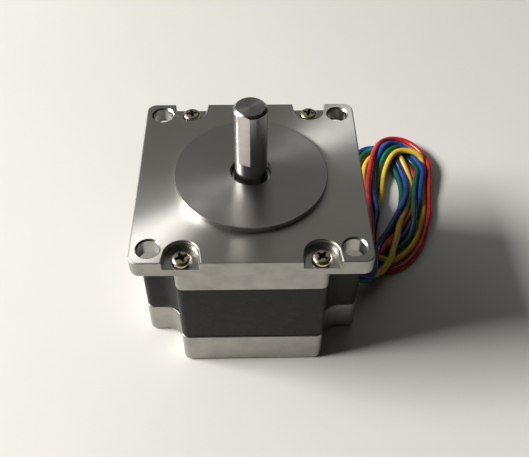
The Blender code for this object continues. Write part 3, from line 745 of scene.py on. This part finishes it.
def front_hollow():
    shoulder = FRONT_BEARING[1].z + SEAT_CLEARANCE
    boss_end = FRONT_BEARING[0].z
    below = CAP_LOW.z - SEAT_CLEARANCE
    levels = [(below, CAVITY_R), (FRONT_CAVITY_ROOF, CAVITY_R), (FRONT_CAVITY_ROOF, SEAT_BOSS_R)]
    levels += [(boss_end, SEAT_BOSS_R), (boss_end, BEARING_SEAT_R), (shoulder, BEARING_SEAT_R)]
    levels += [(shoulder, SHAFT_CLEARANCE_R), (PILOT_TOP - 0.3 * MM, SHAFT_CLEARANCE_R)]
    levels.append((PILOT_TOP - 0.1 * MM, SHAFT_CLEARANCE_R + 0.05 * MM))
    levels.append((PILOT_TOP + SEAT_CLEARANCE, SHAFT_MOUTH_R))
    return turned("front_hollow", levels, FINE_STEPS)


def nearest(centre, places):
    """Distance in plan from the nearest of some places."""
    return min(math.hypot(centre.x - x, centre.y - y) for x, y in places)


def make_front_end_cap():
    edge = FLANGE_EDGE
    levels = [(FLANGE_BOTTOM + up * edge, inset * edge) for up, inset in FLANGE_ROUNDING]
    levels += [(FLANGE_TOP - down * edge, inset * edge) for down, inset in reversed(FLANGE_ROUNDING)]
    cap = slab("front_cap", flange_outline, levels)
    bottom = CAP_LOW.z
    skirt_levels = [(bottom, 0.7 * CASTING_EDGE), (bottom + 0.2 * CASTING_EDGE, 0.2 * CASTING_EDGE)]
    skirt_levels += [(bottom + 0.7 * CASTING_EDGE, 0), (FLANGE_BOTTOM + SEAT_CLEARANCE, 0)]
    skirt = slab("skirt", body_outline(BODY_HALF), skirt_levels)
    pilot_levels = [(FLANGE_TOP - SEAT_CLEARANCE, PILOT_R), (PILOT_TOP - PILOT_EDGE, PILOT_R)]
    pilot_levels.append((PILOT_TOP - 0.3 * PILOT_EDGE, PILOT_R - 0.3 * PILOT_EDGE))
    pilot_levels.append((PILOT_TOP, PILOT_R - PILOT_EDGE))
    pilot = turned("pilot", pilot_levels, FINE_STEPS)
    combine(cap, [skirt, pilot], "UNION")
    corners = [(x * HOLE_OFFSET, y * HOLE_OFFSET) for x in (-1, 1) for y in (-1, 1)]
    cutters = [mounting_hole(index, place) for index, place in enumerate(corners, 1)]
    cutters += [pocket(index, place) for index, place in enumerate(screw_places(), 1)]
    cutters += screw_holes(CAP_LOW.z - SEAT_CLEARANCE, POCKET_FLOOR + SEAT_CLEARANCE)
    combine(cap, [front_hollow()] + cutters)

    def finish_of(centre, normal):
        out = math.hypot(centre.x, centre.y)
        # The shaft hole's wall takes a dark grey that is painted shade: the shaft shades this wall from the
        # window light.
        if out < SHAFT_MOUTH_R and normal.z < 0.5 and centre.z < PILOT_TOP - 0.02 * MM:
            return 4
        for height, finish in ((PILOT_TOP, 2), (FLANGE_TOP, 1)):
            if normal.z > LEVEL and abs(centre.z - height) < NEAR:
                return finish
        round_wall = out < PILOT_R + 0.1 * MM
        holes = nearest(centre, corners) - HOLE_R < HOLE_CHAMFER
        pockets = nearest(centre, screw_places()) < POCKET_R + POCKET_FLARE
        inside_edge = max(abs(centre.x), abs(centre.y)) < FLANGE_HALF - 0.2 * MM
        cut_face = centre.z > POCKET_FLOOR - 0.1 * MM or holes
        return 3 if cut_face and inside_edge and (round_wall or holes or pockets) else 0

    cover(cap, [CAST, TURNED, PILOT, BORED, SHADED_BORE], finish_of)
    shade(cap)
    belongs(cap, "housing", "end_cap_aluminium", "front_end_cap")


def make_rear_end_cap():
    top = REAR_HIGH.z
    edge = CASTING_EDGE
    levels = [(0, 2 * edge), (0.25 * edge, 1.1 * edge), (0.9 * edge, 0.35 * edge), (2 * edge, 0)]
    levels += [(top - 0.6 * edge, 0), (top, 0.6 * edge)]
    cap = slab("rear_cap", body_outline(BODY_HALF), levels)
    seat_floor = REAR_BEARING[0].z - WAVE_SPRING_ROOM
    above = top + SEAT_CLEARANCE
    hollow_levels = [(seat_floor, BEARING_SEAT_R), (REAR_BEARING[1].z, BEARING_SEAT_R)]
    hollow_levels += [(REAR_BEARING[1].z, CAVITY_R), (above, CAVITY_R)]
    ring_levels = [(REAR_CAVITY_FLOOR, CAVITY_R), (REAR_BEARING[1].z + 0.1 * MM, CAVITY_R)]
    ring = turned("ring_hollow", ring_levels, FINE_STEPS)
    boss = turned("boss", [(0.0, SEAT_BOSS_R), (REAR_BEARING[1].z, SEAT_BOSS_R)], FINE_STEPS)
    combine(ring, [boss])
    recess_levels = [(-SEAT_CLEARANCE, REAR_RECESS_R), (REAR_RECESS_DEPTH, REAR_RECESS_R)]
    slot_low = (SLOT_INSIDE_X, EXIT_Y * MM - SLOT_HALF, SLOT_FLOOR)
    slot_high = (BODY_HALF + SEAT_CLEARANCE, EXIT_Y * MM + SLOT_HALF, above)
    cutters = [turned("seat_hollow", hollow_levels, FINE_STEPS), ring, turned("recess", recess_levels, STEPS)]
    cutters += screw_holes(-SEAT_CLEARANCE, above) + [block("lead_slot", slot_low, slot_high)]
    combine(cap, cutters)

    def finish_of(centre, normal):
        inside = math.hypot(centre.x, centre.y) < CAVITY_R + 0.1 * MM and centre.z > NEAR
        return 1 if inside else 0

    cover(cap, [CAST, BORED], finish_of)
    shade(cap)
    belongs(cap, "housing", "end_cap_aluminium", "rear_end_cap")


def make_stator():
    """The lacquered stack, with a fine groove at each joint between laminations."""
    bottom, top = STATOR_LOW.z, STATOR_HIGH.z
    count = round((top - bottom) / LAMINATION)
    pitch = (top - bottom) / count
    half_groove = 0.06 * MM
    levels = [(bottom, LAMINATION_GROOVE)]
    for index in range(count):
        low = bottom + index * pitch
        levels += [(low + half_groove, 0), (low + pitch - half_groove, 0)]
        levels.append((low + pitch, LAMINATION_GROOVE))
    core = slab("lamination_stack", body_outline(STATOR_HALF), levels)
    below, above = bottom - SEAT_CLEARANCE, top + SEAT_CLEARANCE
    combine(core, [slab("bore", stator_bore, [(below, 0), (above, 0)])] + screw_holes(below, above))

    def finish_of(centre, normal):
        return 1 if math.hypot(centre.x, centre.y) < CAVITY_R + 0.1 * MM else 0

    cover(core, [LACQUER, CORE_STEEL], finish_of)
    shade(core, 20)
    belongs(core, "housing", "stator_lacquer", "stator_core")


def screw_profile(head_bottom):
    """From the tip up: thread, plain shank and a low domed head."""
    tip = SCREW_LOW.z
    levels = [(tip, SCREW_R - 2 * THREAD_DEPTH)]
    turns = round(THREAD_LENGTH / THREAD_PITCH)
    for index in range(turns):
        low = tip + (index + 0.3) * THREAD_PITCH
        levels += [(low, SCREW_R - THREAD_DEPTH), (low + 0.45 * THREAD_PITCH, SCREW_R)]
        levels.append((low + 0.6 * THREAD_PITCH, SCREW_R))
    levels += [(tip + (turns + 0.6) * THREAD_PITCH, SCREW_R), (head_bottom, SCREW_R)]
    top = head_bottom + SCREW_HEAD_HEIGHT
    levels += [(head_bottom, SCREW_HEAD_R - 0.1 * MM), (head_bottom + 0.1 * MM, SCREW_HEAD_R)]
    for step in range(DOME_STEPS):
        angle = math.pi / 2 * step / DOME_STEPS
        radius = SCREW_HEAD_R * (0.45 + 0.55 * math.cos(angle))
        levels.append((top - SCREW_HEAD_SHOULDER * (1 - math.sin(angle) * 0.97), radius))
    levels += [(top - 0.012 * MM, SCREW_HEAD_R * 0.4), (top, SCREW_HEAD_R * 0.2)]
    return levels


def recess_cutter(name, place, angle, top):
    """One bar of the cross recess: narrower and shorter towards its bottom."""
    shape = bmesh.new()
    bmesh.ops.create_cube(shape, size=2)
    for vertex in shape.verts:
        deep = vertex.co.z < 0
        vertex.co.x *= RECESS_ARM * (0.55 if deep else 1.0)
        vertex.co.y *= RECESS_HALF_WIDTH * (0.75 if deep else 1.0)
        vertex.co.z = top - RECESS_DEPTH if deep else top + OVER
    matrix = Matrix.Translation((*place, 0)) @ Matrix.Rotation(angle, 4, "Z")
    bmesh.ops.transform(shape, matrix=matrix, verts=shape.verts)
    return piece_from(name, shape)


def make_tie_screws():
    top = SCREW_HIGH.z
    head_bottom = top - SCREW_HEAD_HEIGHT
    recess_top = top - 0.35 * MM
    middle_levels = [(top - down * MM, radius * MM) for down, radius in RECESS_MIDDLE]
    for index, place in enumerate(screw_places(), 1):
        screw = turned(f"cross_screw_{index}", screw_profile(head_bottom), HOLE_STEPS, place)
        turn = RECESS_TURN * index
        cutters = [recess_cutter(f"bar_{side}", place, turn + side * math.pi / 2, top) for side in (0, 1)]
        cutters.append(turned("recess_middle", middle_levels, 24, place))
        combine(screw, cutters)
        centre = Vector((*place, 0))

        def finish_of(middle, normal):
            # The cross recess's walls and floor take a dark zinc that is painted shade, standing in for the
            # shadow inside the recess.
            near = (middle - centre).xy.length < RECESS_ARM and middle.z > head_bottom - RECESS_DEPTH
            return 1 if near and (normal.z < 0.4 or middle.z < recess_top) else 0

        cover(screw, [ZINC, SHADED_RECESS_ZINC], finish_of)
        shade(screw, 40)
        belongs(screw, "housing", "zinc_screw", f"tie_screw_{index}")


def make_shaft():
    bottom, top = SHAFT_LOW.z, SHAFT_HIGH.z
    levels = [(bottom, SHAFT_R - SHAFT_CHAMFER), (bottom + SHAFT_CHAMFER, SHAFT_R)]
    levels += [(top - SHAFT_CHAMFER, SHAFT_R), (top, SHAFT_R - SHAFT_CHAMFER)]
    shaft = turned("output_shaft", levels, 128)
    beyond = SHAFT_R + SEAT_CLEARANCE
    low = (SHAFT_R - FLAT_DEPTH, -beyond, top - FLAT_LENGTH)
    flat = block("flat_cutter", low, (beyond, beyond, top + SEAT_CLEARANCE))
    flat.data.transform(Matrix.Rotation(FLAT_ANGLE, 4, "Z"))
    combine(shaft, [flat])
    facing = Vector((*polar(1, FLAT_ANGLE), 0))

    def finish_of(centre, normal):
        if abs(normal.z) > LEVEL:
            return 2
        return 1 if normal.dot(facing) > 0.9995 and centre.z > top - FLAT_LENGTH else 0

    cover(shaft, [GROUND_STEEL, MILLED_STEEL, TURNED_STEEL], finish_of)
    shade(shaft)
    belongs(shaft, "rotor", "shaft_steel", "shaft")


# Leads


def between(before, start, end, after, t):
    """Catmull-Rom: a point from start to end, with its neighbours giving the direction."""
    return 0.5 * (
        2 * start
        + (end - before) * t
        + (2 * before - 5 * start + 4 * end - after) * t**2
        + (3 * start - before - 3 * end + after) * t**3
    )


def smooth_route(route, per_span):
    """Points along a smooth open line through the route's own points."""
    route = [np.array(point, float) for point in route]
    padded = [route[0] * 2 - route[1], *route, route[-1] * 2 - route[-2]]
    points = []
    for i in range(len(route) - 1):
        points += [between(*padded[i : i + 4], j / per_span) for j in range(per_span)]
    return np.array([*points, route[-1]])


def evenly(line, spacing):
    """The same line with its points a fixed distance apart."""
    steps = np.linalg.norm(np.diff(line, axis=0), axis=1)
    along = np.concatenate([[0], np.cumsum(steps)])
    at = np.linspace(0, along[-1], round(along[-1] / spacing) + 1)
    return np.stack([np.interp(at, along, line[:, axis]) for axis in range(3)], 1)


# Each lead's way round the hank, in millimetres: first turn, then second turn to its bare end
ROUTES = {
    "red": (
        (33.8, -2.4, 3.4), (36.0, 1.0, 2.9), (38.8, 6.6, 2.9), (41.8, 12.2, 2.9), (46.4, 17.2, 1.0),
        (50.8, 24.0, 1.0), (53.4, 31.2, 1.0), (54.2, 38.0, 1.0), (53.0, 44.4, 1.0), (49.6, 48.8, 1.0),
        (44.6, 49.6, 1.0), (40.8, 47.0, 1.0), (38.6, 41.6, 1.0), (37.2, 33.0, 1.0), (36.0, 22.0, 1.0),
        (34.8, 11.0, 1.0), (34.2, 3.6, 1.0), (36.4, 1.4, 1.0), (40.6, 0.8, 1.0), (45.2, 3.0, 1.0),
        (49.4, 7.6, 1.0), (52.2, 13.2, 1.0), (54.4, 19.4, 1.0), (55.8, 26.0, 1.2), (56.4, 31.8, 2.4),
        (57.4, 37.0, 3.6), (58.2, 41.6, 4.6), (58.2, 45.8, 5.0), (57.0, 50.4, 5.2), (54.4, 54.4, 5.2),
        (50.4, 56.4, 5.2), (45.6, 55.2, 5.0), (42.6, 49.4, 4.8), (40.8, 44.6, 4.8), (39.2, 39.0, 4.8),
        (37.8, 31.4, 4.8), (36.8, 23.0, 4.6), (36.0, 14.0, 4.4), (35.2, 6.0, 4.4),
    ),
    "yellow": (
        (33.2, -4.2, 6.2), (35.2, -4.4, 6.0), (37.0, -2.8, 6.2), (39.8, 2.8, 6.0), (43.5, 12.2, 5.0),
        (46.4, 18.8, 3.4), (49.4, 25.4, 1.4), (51.8, 32.6, 1.0), (52.8, 40.0, 1.0), (51.2, 46.6, 2.9),
        (47.0, 50.6, 3.0), (42.4, 50.6, 1.0), (39.0, 46.8, 1.0), (37.4, 40.0, 2.9), (36.2, 31.0, 2.9),
        (35.2, 20.0, 1.0), (34.0, 9.0, 1.0), (34.4, 4.6, 2.9), (37.6, 2.6, 2.9), (41.6, 3.4, 1.0),
        (45.6, 6.4, 1.0), (49.4, 10.8, 1.0), (51.9, 16.8, 1.0), (53.6, 23.4, 1.0), (54.8, 29.6, 1.0),
        (56.2, 34.6, 1.0), (57.0, 38.6, 1.0), (57.0, 42.6, 2.4), (55.2, 46.6, 4.6), (51.8, 49.0, 5.4),
        (48.4, 48.8, 5.6), (45.4, 45.4, 5.2), (43.4, 39.6, 3.4), (42.3, 34.0, 1.6), (41.2, 29.4, 1.2),
        (39.2, 24.8, 1.0), (37.8, 20.0, 1.0), (37.5, 13.0, 1.0), (37.4, 6.0, 1.0),
    ),
    "green": (
        (34.0, -4.2, 3.8), (36.2, 0.4, 2.9), (38.4, 6.4, 2.9), (41.0, 12.2, 2.9), (44.2, 18.2, 2.4),
        (47.6, 24.4, 2.8), (49.0, 31.0, 2.6), (49.0, 38.0, 1.2), (47.8, 44.4, 1.0), (45.6, 49.2, 2.9),
        (42.6, 52.0, 2.9), (39.0, 51.6, 1.0), (36.6, 47.0, 1.0), (35.8, 39.0, 1.0), (34.8, 29.0, 1.0),
        (33.6, 19.0, 1.0), (32.4, 9.4, 1.4), (33.4, 6.4, 3.0), (36.8, 5.2, 2.0), (40.8, 6.8, 1.0),
        (44.4, 10.2, 1.0), (47.8, 13.4, 1.0), (50.0, 19.4, 2.9), (51.6, 26.0, 3.1), (52.6, 32.0, 2.9),
        (54.0, 38.0, 1.0), (54.6, 43.0, 1.4), (53.8, 47.2, 3.6), (51.4, 50.4, 4.9), (48.0, 50.7, 4.9),
        (44.4, 47.6, 4.6), (42.0, 42.0, 3.4), (40.0, 35.6, 1.0), (38.8, 28.0, 1.0), (36.8, 20.0, 2.9),
        (35.6, 12.0, 2.9), (34.8, 5.0, 2.9),
    ),
    "blue": (
        (33.0, -7.3, 7.8), (34.4, -4.0, 7.2), (36.2, 2.9, 6.5), (39.0, 9.6, 5.5), (42.8, 16.4, 4.4),
        (46.2, 22.6, 3.6), (49.4, 29.0, 2.9), (51.0, 35.6, 2.4), (50.0, 42.4, 2.9), (47.6, 47.8, 2.9),
        (44.4, 52.4, 1.0), (40.0, 53.6, 1.0), (36.0, 50.6, 1.0), (34.2, 43.0, 1.0), (33.4, 33.0, 1.0),
        (32.4, 21.0, 1.0), (31.2, 10.0, 1.0), (32.4, 6.0, 1.0), (35.6, 4.4, 2.8), (39.2, 7.4, 2.6),
        (42.4, 10.8, 1.4), (46.0, 12.8, 1.0), (48.6, 18.6, 1.0), (51.6, 24.0, 2.4), (53.0, 30.0, 2.9),
        (54.4, 36.6, 2.9), (55.4, 42.2, 3.2), (54.8, 47.0, 4.2), (52.8, 51.0, 4.8), (49.4, 52.9, 4.9),
        (45.6, 51.6, 4.9), (42.8, 47.6, 4.6), (40.6, 42.0, 3.4), (39.4, 35.0, 2.9), (38.4, 27.0, 2.9),
        (36.8, 18.0, 2.9), (35.6, 10.0, 2.9),
    ),
}


def lead_exit(column, row):
    """Y and height of a lead's hole in the grommet, in millimetres."""
    return EXIT_Y + column * LEAD_PITCH / 2, EXIT_Z + row * LEAD_PITCH / 2


def full_route(colour):
    y, z = lead_exit(*LEAD_PLACES[colour])
    route = [(x, y, z) for x in (LEAD_START_X, *LEAD_STRAIGHT)]
    return [*route, (HANK_SIDE_X, *LEAD_ENDS[colour]), *ROUTES[colour]]


class Settling:
    """Lets the leads, each a chain of points, sink onto the floor and each other, then eases their bends."""

    STEP = 1.0
    ROUNDS = 160
    LATE = 0.75
    EASINGS = 8
    SINKING = 0.03
    HOMING = 0.02
    REACH = 1.6
    OVERSHOOT = 1.2
    WALL_GAP = 0.1
    LENGTH_SHARE = 0.25
    STIFFNESS, LATE_STIFFNESS = 0.5, 0.15
    PUSHES, LATE_PUSHES = 3, 6
    FREE_NEIGHBOURS = 5
    PINNED_POINTS = 15

    def __init__(self, lines):
        self.points = np.concatenate(lines)
        self.home = self.points.copy()
        self.owner = np.repeat(range(len(lines)), [len(line) for line in lines])
        index = np.concatenate([np.arange(len(line)) for line in lines])
        count = len(index)
        first = np.flatnonzero(index == 0)
        last = np.append(first[1:] - 1, count - 1)
        inner = np.ones(count, bool)
        inner[first] = False
        inner[last] = False
        self.inner = np.flatnonzero(inner)
        self.bend = self.off_middle()
        self.bend[:, 2] = 0
        at_exit = self.home[:, 0] < LEAD_STRAIGHT[1] + 0.3
        self.pinned = at_exit & (index < self.PINNED_POINTS)
        apart = abs(index[:, None] - index[None, :]) > self.FREE_NEIGHBOURS
        other = self.owner[:, None] != self.owner[None, :]
        self.may_touch = np.triu(apart | other, 1)

    def off_middle(self):
        """How far each inner point stands off the middle of its two neighbours."""
        points = self.points
        return points[self.inner] - (points[self.inner - 1] + points[self.inner + 1]) / 2

    def find_near(self):
        gaps = np.linalg.norm(self.points[:, None] - self.points[None, :], axis=2)
        self.near = np.nonzero(self.may_touch & (gaps < LEAD_SPACING + self.REACH))

    def straighten(self, share):
        """Moves each point towards its own bend in plan, and towards level."""
        self.points[self.inner] += share * (self.bend - self.off_middle())

    def keep_length(self):
        along = np.diff(self.points, axis=0)
        length = np.linalg.norm(along, axis=1)
        same = self.owner[1:] == self.owner[:-1]
        share = np.where(same, self.LENGTH_SHARE * (length - self.STEP) / np.maximum(length, 1e-9), 0)
        self.points[:-1] += share[:, None] * along
        self.points[1:] -= share[:, None] * along

    def push_apart(self):
        """Parts every two points that are closer than the leads' thickness."""
        a, b = self.near
        away = self.points[a] - self.points[b]
        gap = np.maximum(np.linalg.norm(away, axis=1), 1e-6)
        touching = gap < LEAD_SPACING
        a, b, away, gap = a[touching], b[touching], away[touching], gap[touching]
        push = ((LEAD_SPACING - gap) / gap)[:, None] * away / 2
        moves = np.zeros_like(self.points)
        shares = np.zeros(len(self.points))
        np.add.at(moves, a, push)
        np.add.at(moves, b, -push)
        np.add.at(shares, a, 1)
        np.add.at(shares, b, 1)
        self.points += moves / np.maximum(shares, 1)[:, None] * self.OVERSHOOT
        self.points[:, 2] = np.maximum(self.points[:, 2], LEAD_R)
        self.points[self.pinned] = self.home[self.pinned]
        free = ~self.pinned
        wall = FLANGE_HALF / MM + LEAD_R + self.WALL_GAP
        self.points[free, 0] = np.maximum(self.points[free, 0], wall)

    def run(self):
        for turn in range(self.ROUNDS):
            done = turn / self.ROUNDS
            late = done > self.LATE
            if turn % 8 == 0:
                self.find_near()
            self.points[:, 2] -= self.SINKING * (1 - done)
            self.points[:, :2] += self.HOMING * (1 - done) * (self.home - self.points)[:, :2]
            self.straighten(self.LATE_STIFFNESS if late else self.STIFFNESS)
            for _ in range(2):
                self.keep_length()
            for _ in range(self.LATE_PUSHES if late else self.PUSHES):
                self.push_apart()
        self.ease()
        return [self.points[self.owner == lead] for lead in range(self.owner[-1] + 1)]

    def ease(self):
        """Rounds off the kinks that the pushing left."""
        self.find_near()
        eased = self.inner[~self.pinned[self.inner]]
        for _ in range(self.EASINGS):
            middle = (self.points[eased - 1] + self.points[eased + 1]) / 2
            self.points[eased] = (self.points[eased] + middle) / 2
            self.push_apart()


def lead_curve(name, line, material):
    curve = bpy.data.curves.new(name, "CURVE")
    curve.dimensions = "3D"
    curve.bevel_depth = LEAD_R * MM
    curve.bevel_resolution = 4
    curve.use_fill_caps = True
    curve.materials.append(material)
    spline = curve.splines.new("POLY")
    spline.points.add(len(line) - 1)
    for point, place in zip(spline.points, line):
        point.co = (*(float(value) * MM for value in place), 1)
    spline.use_smooth = True
    return new_piece(name, curve)


def bare_tip(name, end, direction):
    """The stripped end: tinned strands twisted together, each cut at its own length."""
    strand_r = STRAND_R * MM
    shape = bmesh.new()
    direction = Vector(direction).normalized()
    aim = direction.to_track_quat("Z", "Y").to_matrix().to_4x4()
    place = Matrix.Translation(Vector(end) * MM - direction * 0.5 * MM) @ aim
    for strand in range(STRAND_COUNT):
        out = 0 if strand == 0 else 2 * strand_r
        length = TIP_LENGTH * MM * (1 - 0.03 * (strand % 3))
        rings = []
        for step in range(STRAND_STEPS + 1):
            height = length * step / STRAND_STEPS
            turn = strand * math.pi / 3 + 2 * math.pi * height / (STRAND_LAY * MM)
            middle = Vector((*polar(out, turn), height))
            around = [polar(strand_r, 2 * math.pi * i / STRAND_SIDES) for i in range(STRAND_SIDES)]
            rings.append([shape.verts.new(place @ (middle + Vector((*point, 0)))) for point in around])
        skin(shape, rings)
    tip = piece_from(name, shape)
    tip.data.shade_smooth()
    cover(tip, [TINNED])
    return tip


def make_leads():
    """The four leads from the winding board through the grommet and round the hank to their bare ends."""
    colours = list(ROUTES)
    routes = [evenly(smooth_route(full_route(colour), 6), Settling.STEP) for colour in colours]
    for colour, line in zip(colours, Settling(routes).run()):
        lead = lead_curve(f"{colour}_wire", line, INSULATION[colour])
        tip = bare_tip(f"{colour}_wire_tip", line[-1], line[-1] - line[-3])
        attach(tip, "housing")
        nodes = [f"lead_{colour}"] + (["lead_hank"] if colour == "red" else [])
        belongs(lead, "housing", f"{colour}_insulation", *nodes)


def make_grommet():
    """A rubber plug in the slot with a rounded lip outside it and a hole for each lead."""
    lip_x = BODY_HALF + SEAT_CLEARANCE
    body_low = (GROMMET_LOW.x, EXIT_Y * MM - SLOT_HALF + SEAT_CLEARANCE, SLOT_FLOOR + SEAT_CLEARANCE)
    body_high = (lip_x + SEAT_CLEARANCE, EXIT_Y * MM + SLOT_HALF - SEAT_CLEARANCE, GROMMET_HIGH.z)
    grommet = block("lead_seal", body_low, body_high)
    lip_low = Vector((lip_x, GROMMET_LOW.y, GROMMET_LOW.z))
    lip = block("seal_lip", lip_low, GROMMET_HIGH)
    rounding = lip.modifiers.new("rounding", "BEVEL")
    rounding.width = 0.5 * MM
    rounding.segments = 4
    combine(grommet, [lip], "UNION")
    lying = Matrix.Rotation(math.pi / 2, 4, "Y")
    cutters = []
    for colour, place in LEAD_PLACES.items():
        y, z = (value * MM for value in lead_exit(*place))
        long = 10 * MM
        hole = turned(f"{colour}_hole", [(-long, LEAD_HOLE_R * MM), (long, LEAD_HOLE_R * MM)], 32)
        hole.data.transform(Matrix.Translation((GROMMET_HIGH.x - long / 2, y, z)) @ lying)
        cutters.append(hole)
    combine(grommet, cutters)
    cover(grommet, [RUBBER])
    shade(grommet)
    belongs(grommet, "housing", "black_rubber", "lead_grommet")


# Inner pieces, which keep their CAD shape


def cover_inner_pieces():
    by_words = (
        ("coil", COPPER),
        ("ball", BALL_STEEL),
        ("cage", BRASS),
        ("spacer", BRASS),
        ("shield", SPRING_STEEL),
        ("spring", SPRING_STEEL),
        ("ring", BEARING_STEEL),
        ("rotor_core", CORE_STEEL),
        ("magnet", MAGNET),
        ("insulator", NYLON),
        ("board", BOARD),
    )
    for name, node in NODES.items():
        if node.hide_render:
            continue
        material = next(finish for word, finish in by_words if word in name)
        node.data.materials.clear()
        node.data.materials.append(material)


CAST = cast_aluminium()
TURNED = turned_aluminium()
PILOT = pilot_aluminium()
BORED = bored_aluminium()
LACQUER = stator_lacquer()
ZINC = yellow_zinc()
GROUND_STEEL = ground_steel()
MILLED_STEEL = milled_steel()
TURNED_STEEL = turned_steel()
# Painted shade: a dark grey for the shaft hole's wall, standing in for the shadow the shaft casts into it.
SHADED_BORE = fine_metal("painted_shade_bore", (0.16, 0.155, 0.15), 0.4, 0.5)
# Painted shade: a dark zinc colour for the inside of the screws' cross recess, standing in for the shadow
# that falls there.
SHADED_RECESS_ZINC = fine_metal("shaded_recess_zinc", (0.13, 0.12, 0.085), 0.35, 0.5)
BEARING_STEEL = fine_metal("bearing_steel", (0.62, 0.62, 0.64), 0.14, 0.22)
BALL_STEEL = fine_metal("ball_steel", (0.7, 0.7, 0.72), 0.05, 0.1, depth=1e-6)
SPRING_STEEL = fine_metal("spring_steel", (0.45, 0.45, 0.46), 0.24, 0.36)
BRASS = fine_metal("brass", (0.65, 0.5, 0.22), 0.28, 0.4)
CORE_STEEL = core_steel()
MAGNET = magnet()
COPPER = copper_winding()
NYLON = moulded("white_nylon", (0.75, 0.74, 0.7), 0.4, 0.52)
BOARD = moulded("winding_board", (0.04, 0.2, 0.09), 0.35, 0.5, 6e-6)
RUBBER = moulded("black_rubber", (0.022, 0.022, 0.022), 0.6, 0.75, 2e-5)
INSULATION = {
    "red": insulation("red", (0.40, 0.01, 0.014), (0.60, 0.035, 0.04)),
    "yellow": insulation("yellow", (0.62, 0.40, 0.03), (0.80, 0.56, 0.06)),
    "green": insulation("green", (0.0, 0.07, 0.045), (0.004, 0.13, 0.08)),
    "blue": insulation("blue", (0.006, 0.03, 0.17), (0.015, 0.075, 0.33)),
}
TINNED = tinned_copper()
FLOOR = pale_table()

make_camera()
make_world()
make_light(
    "window",
    direction=(-0.82, 0.01, 0.565),
    distance=1.25,
    size=(0.60, 0.34),
    power=25.6,
    colour=(1.0, 0.985, 0.955),
)
make_floor()
make_front_end_cap()
make_rear_end_cap()
make_stator()
make_tie_screws()
make_shaft()
make_grommet()
make_leads()
cover_inner_pieces()
bpy.context.scene.view_settings.view_transform = "Standard"
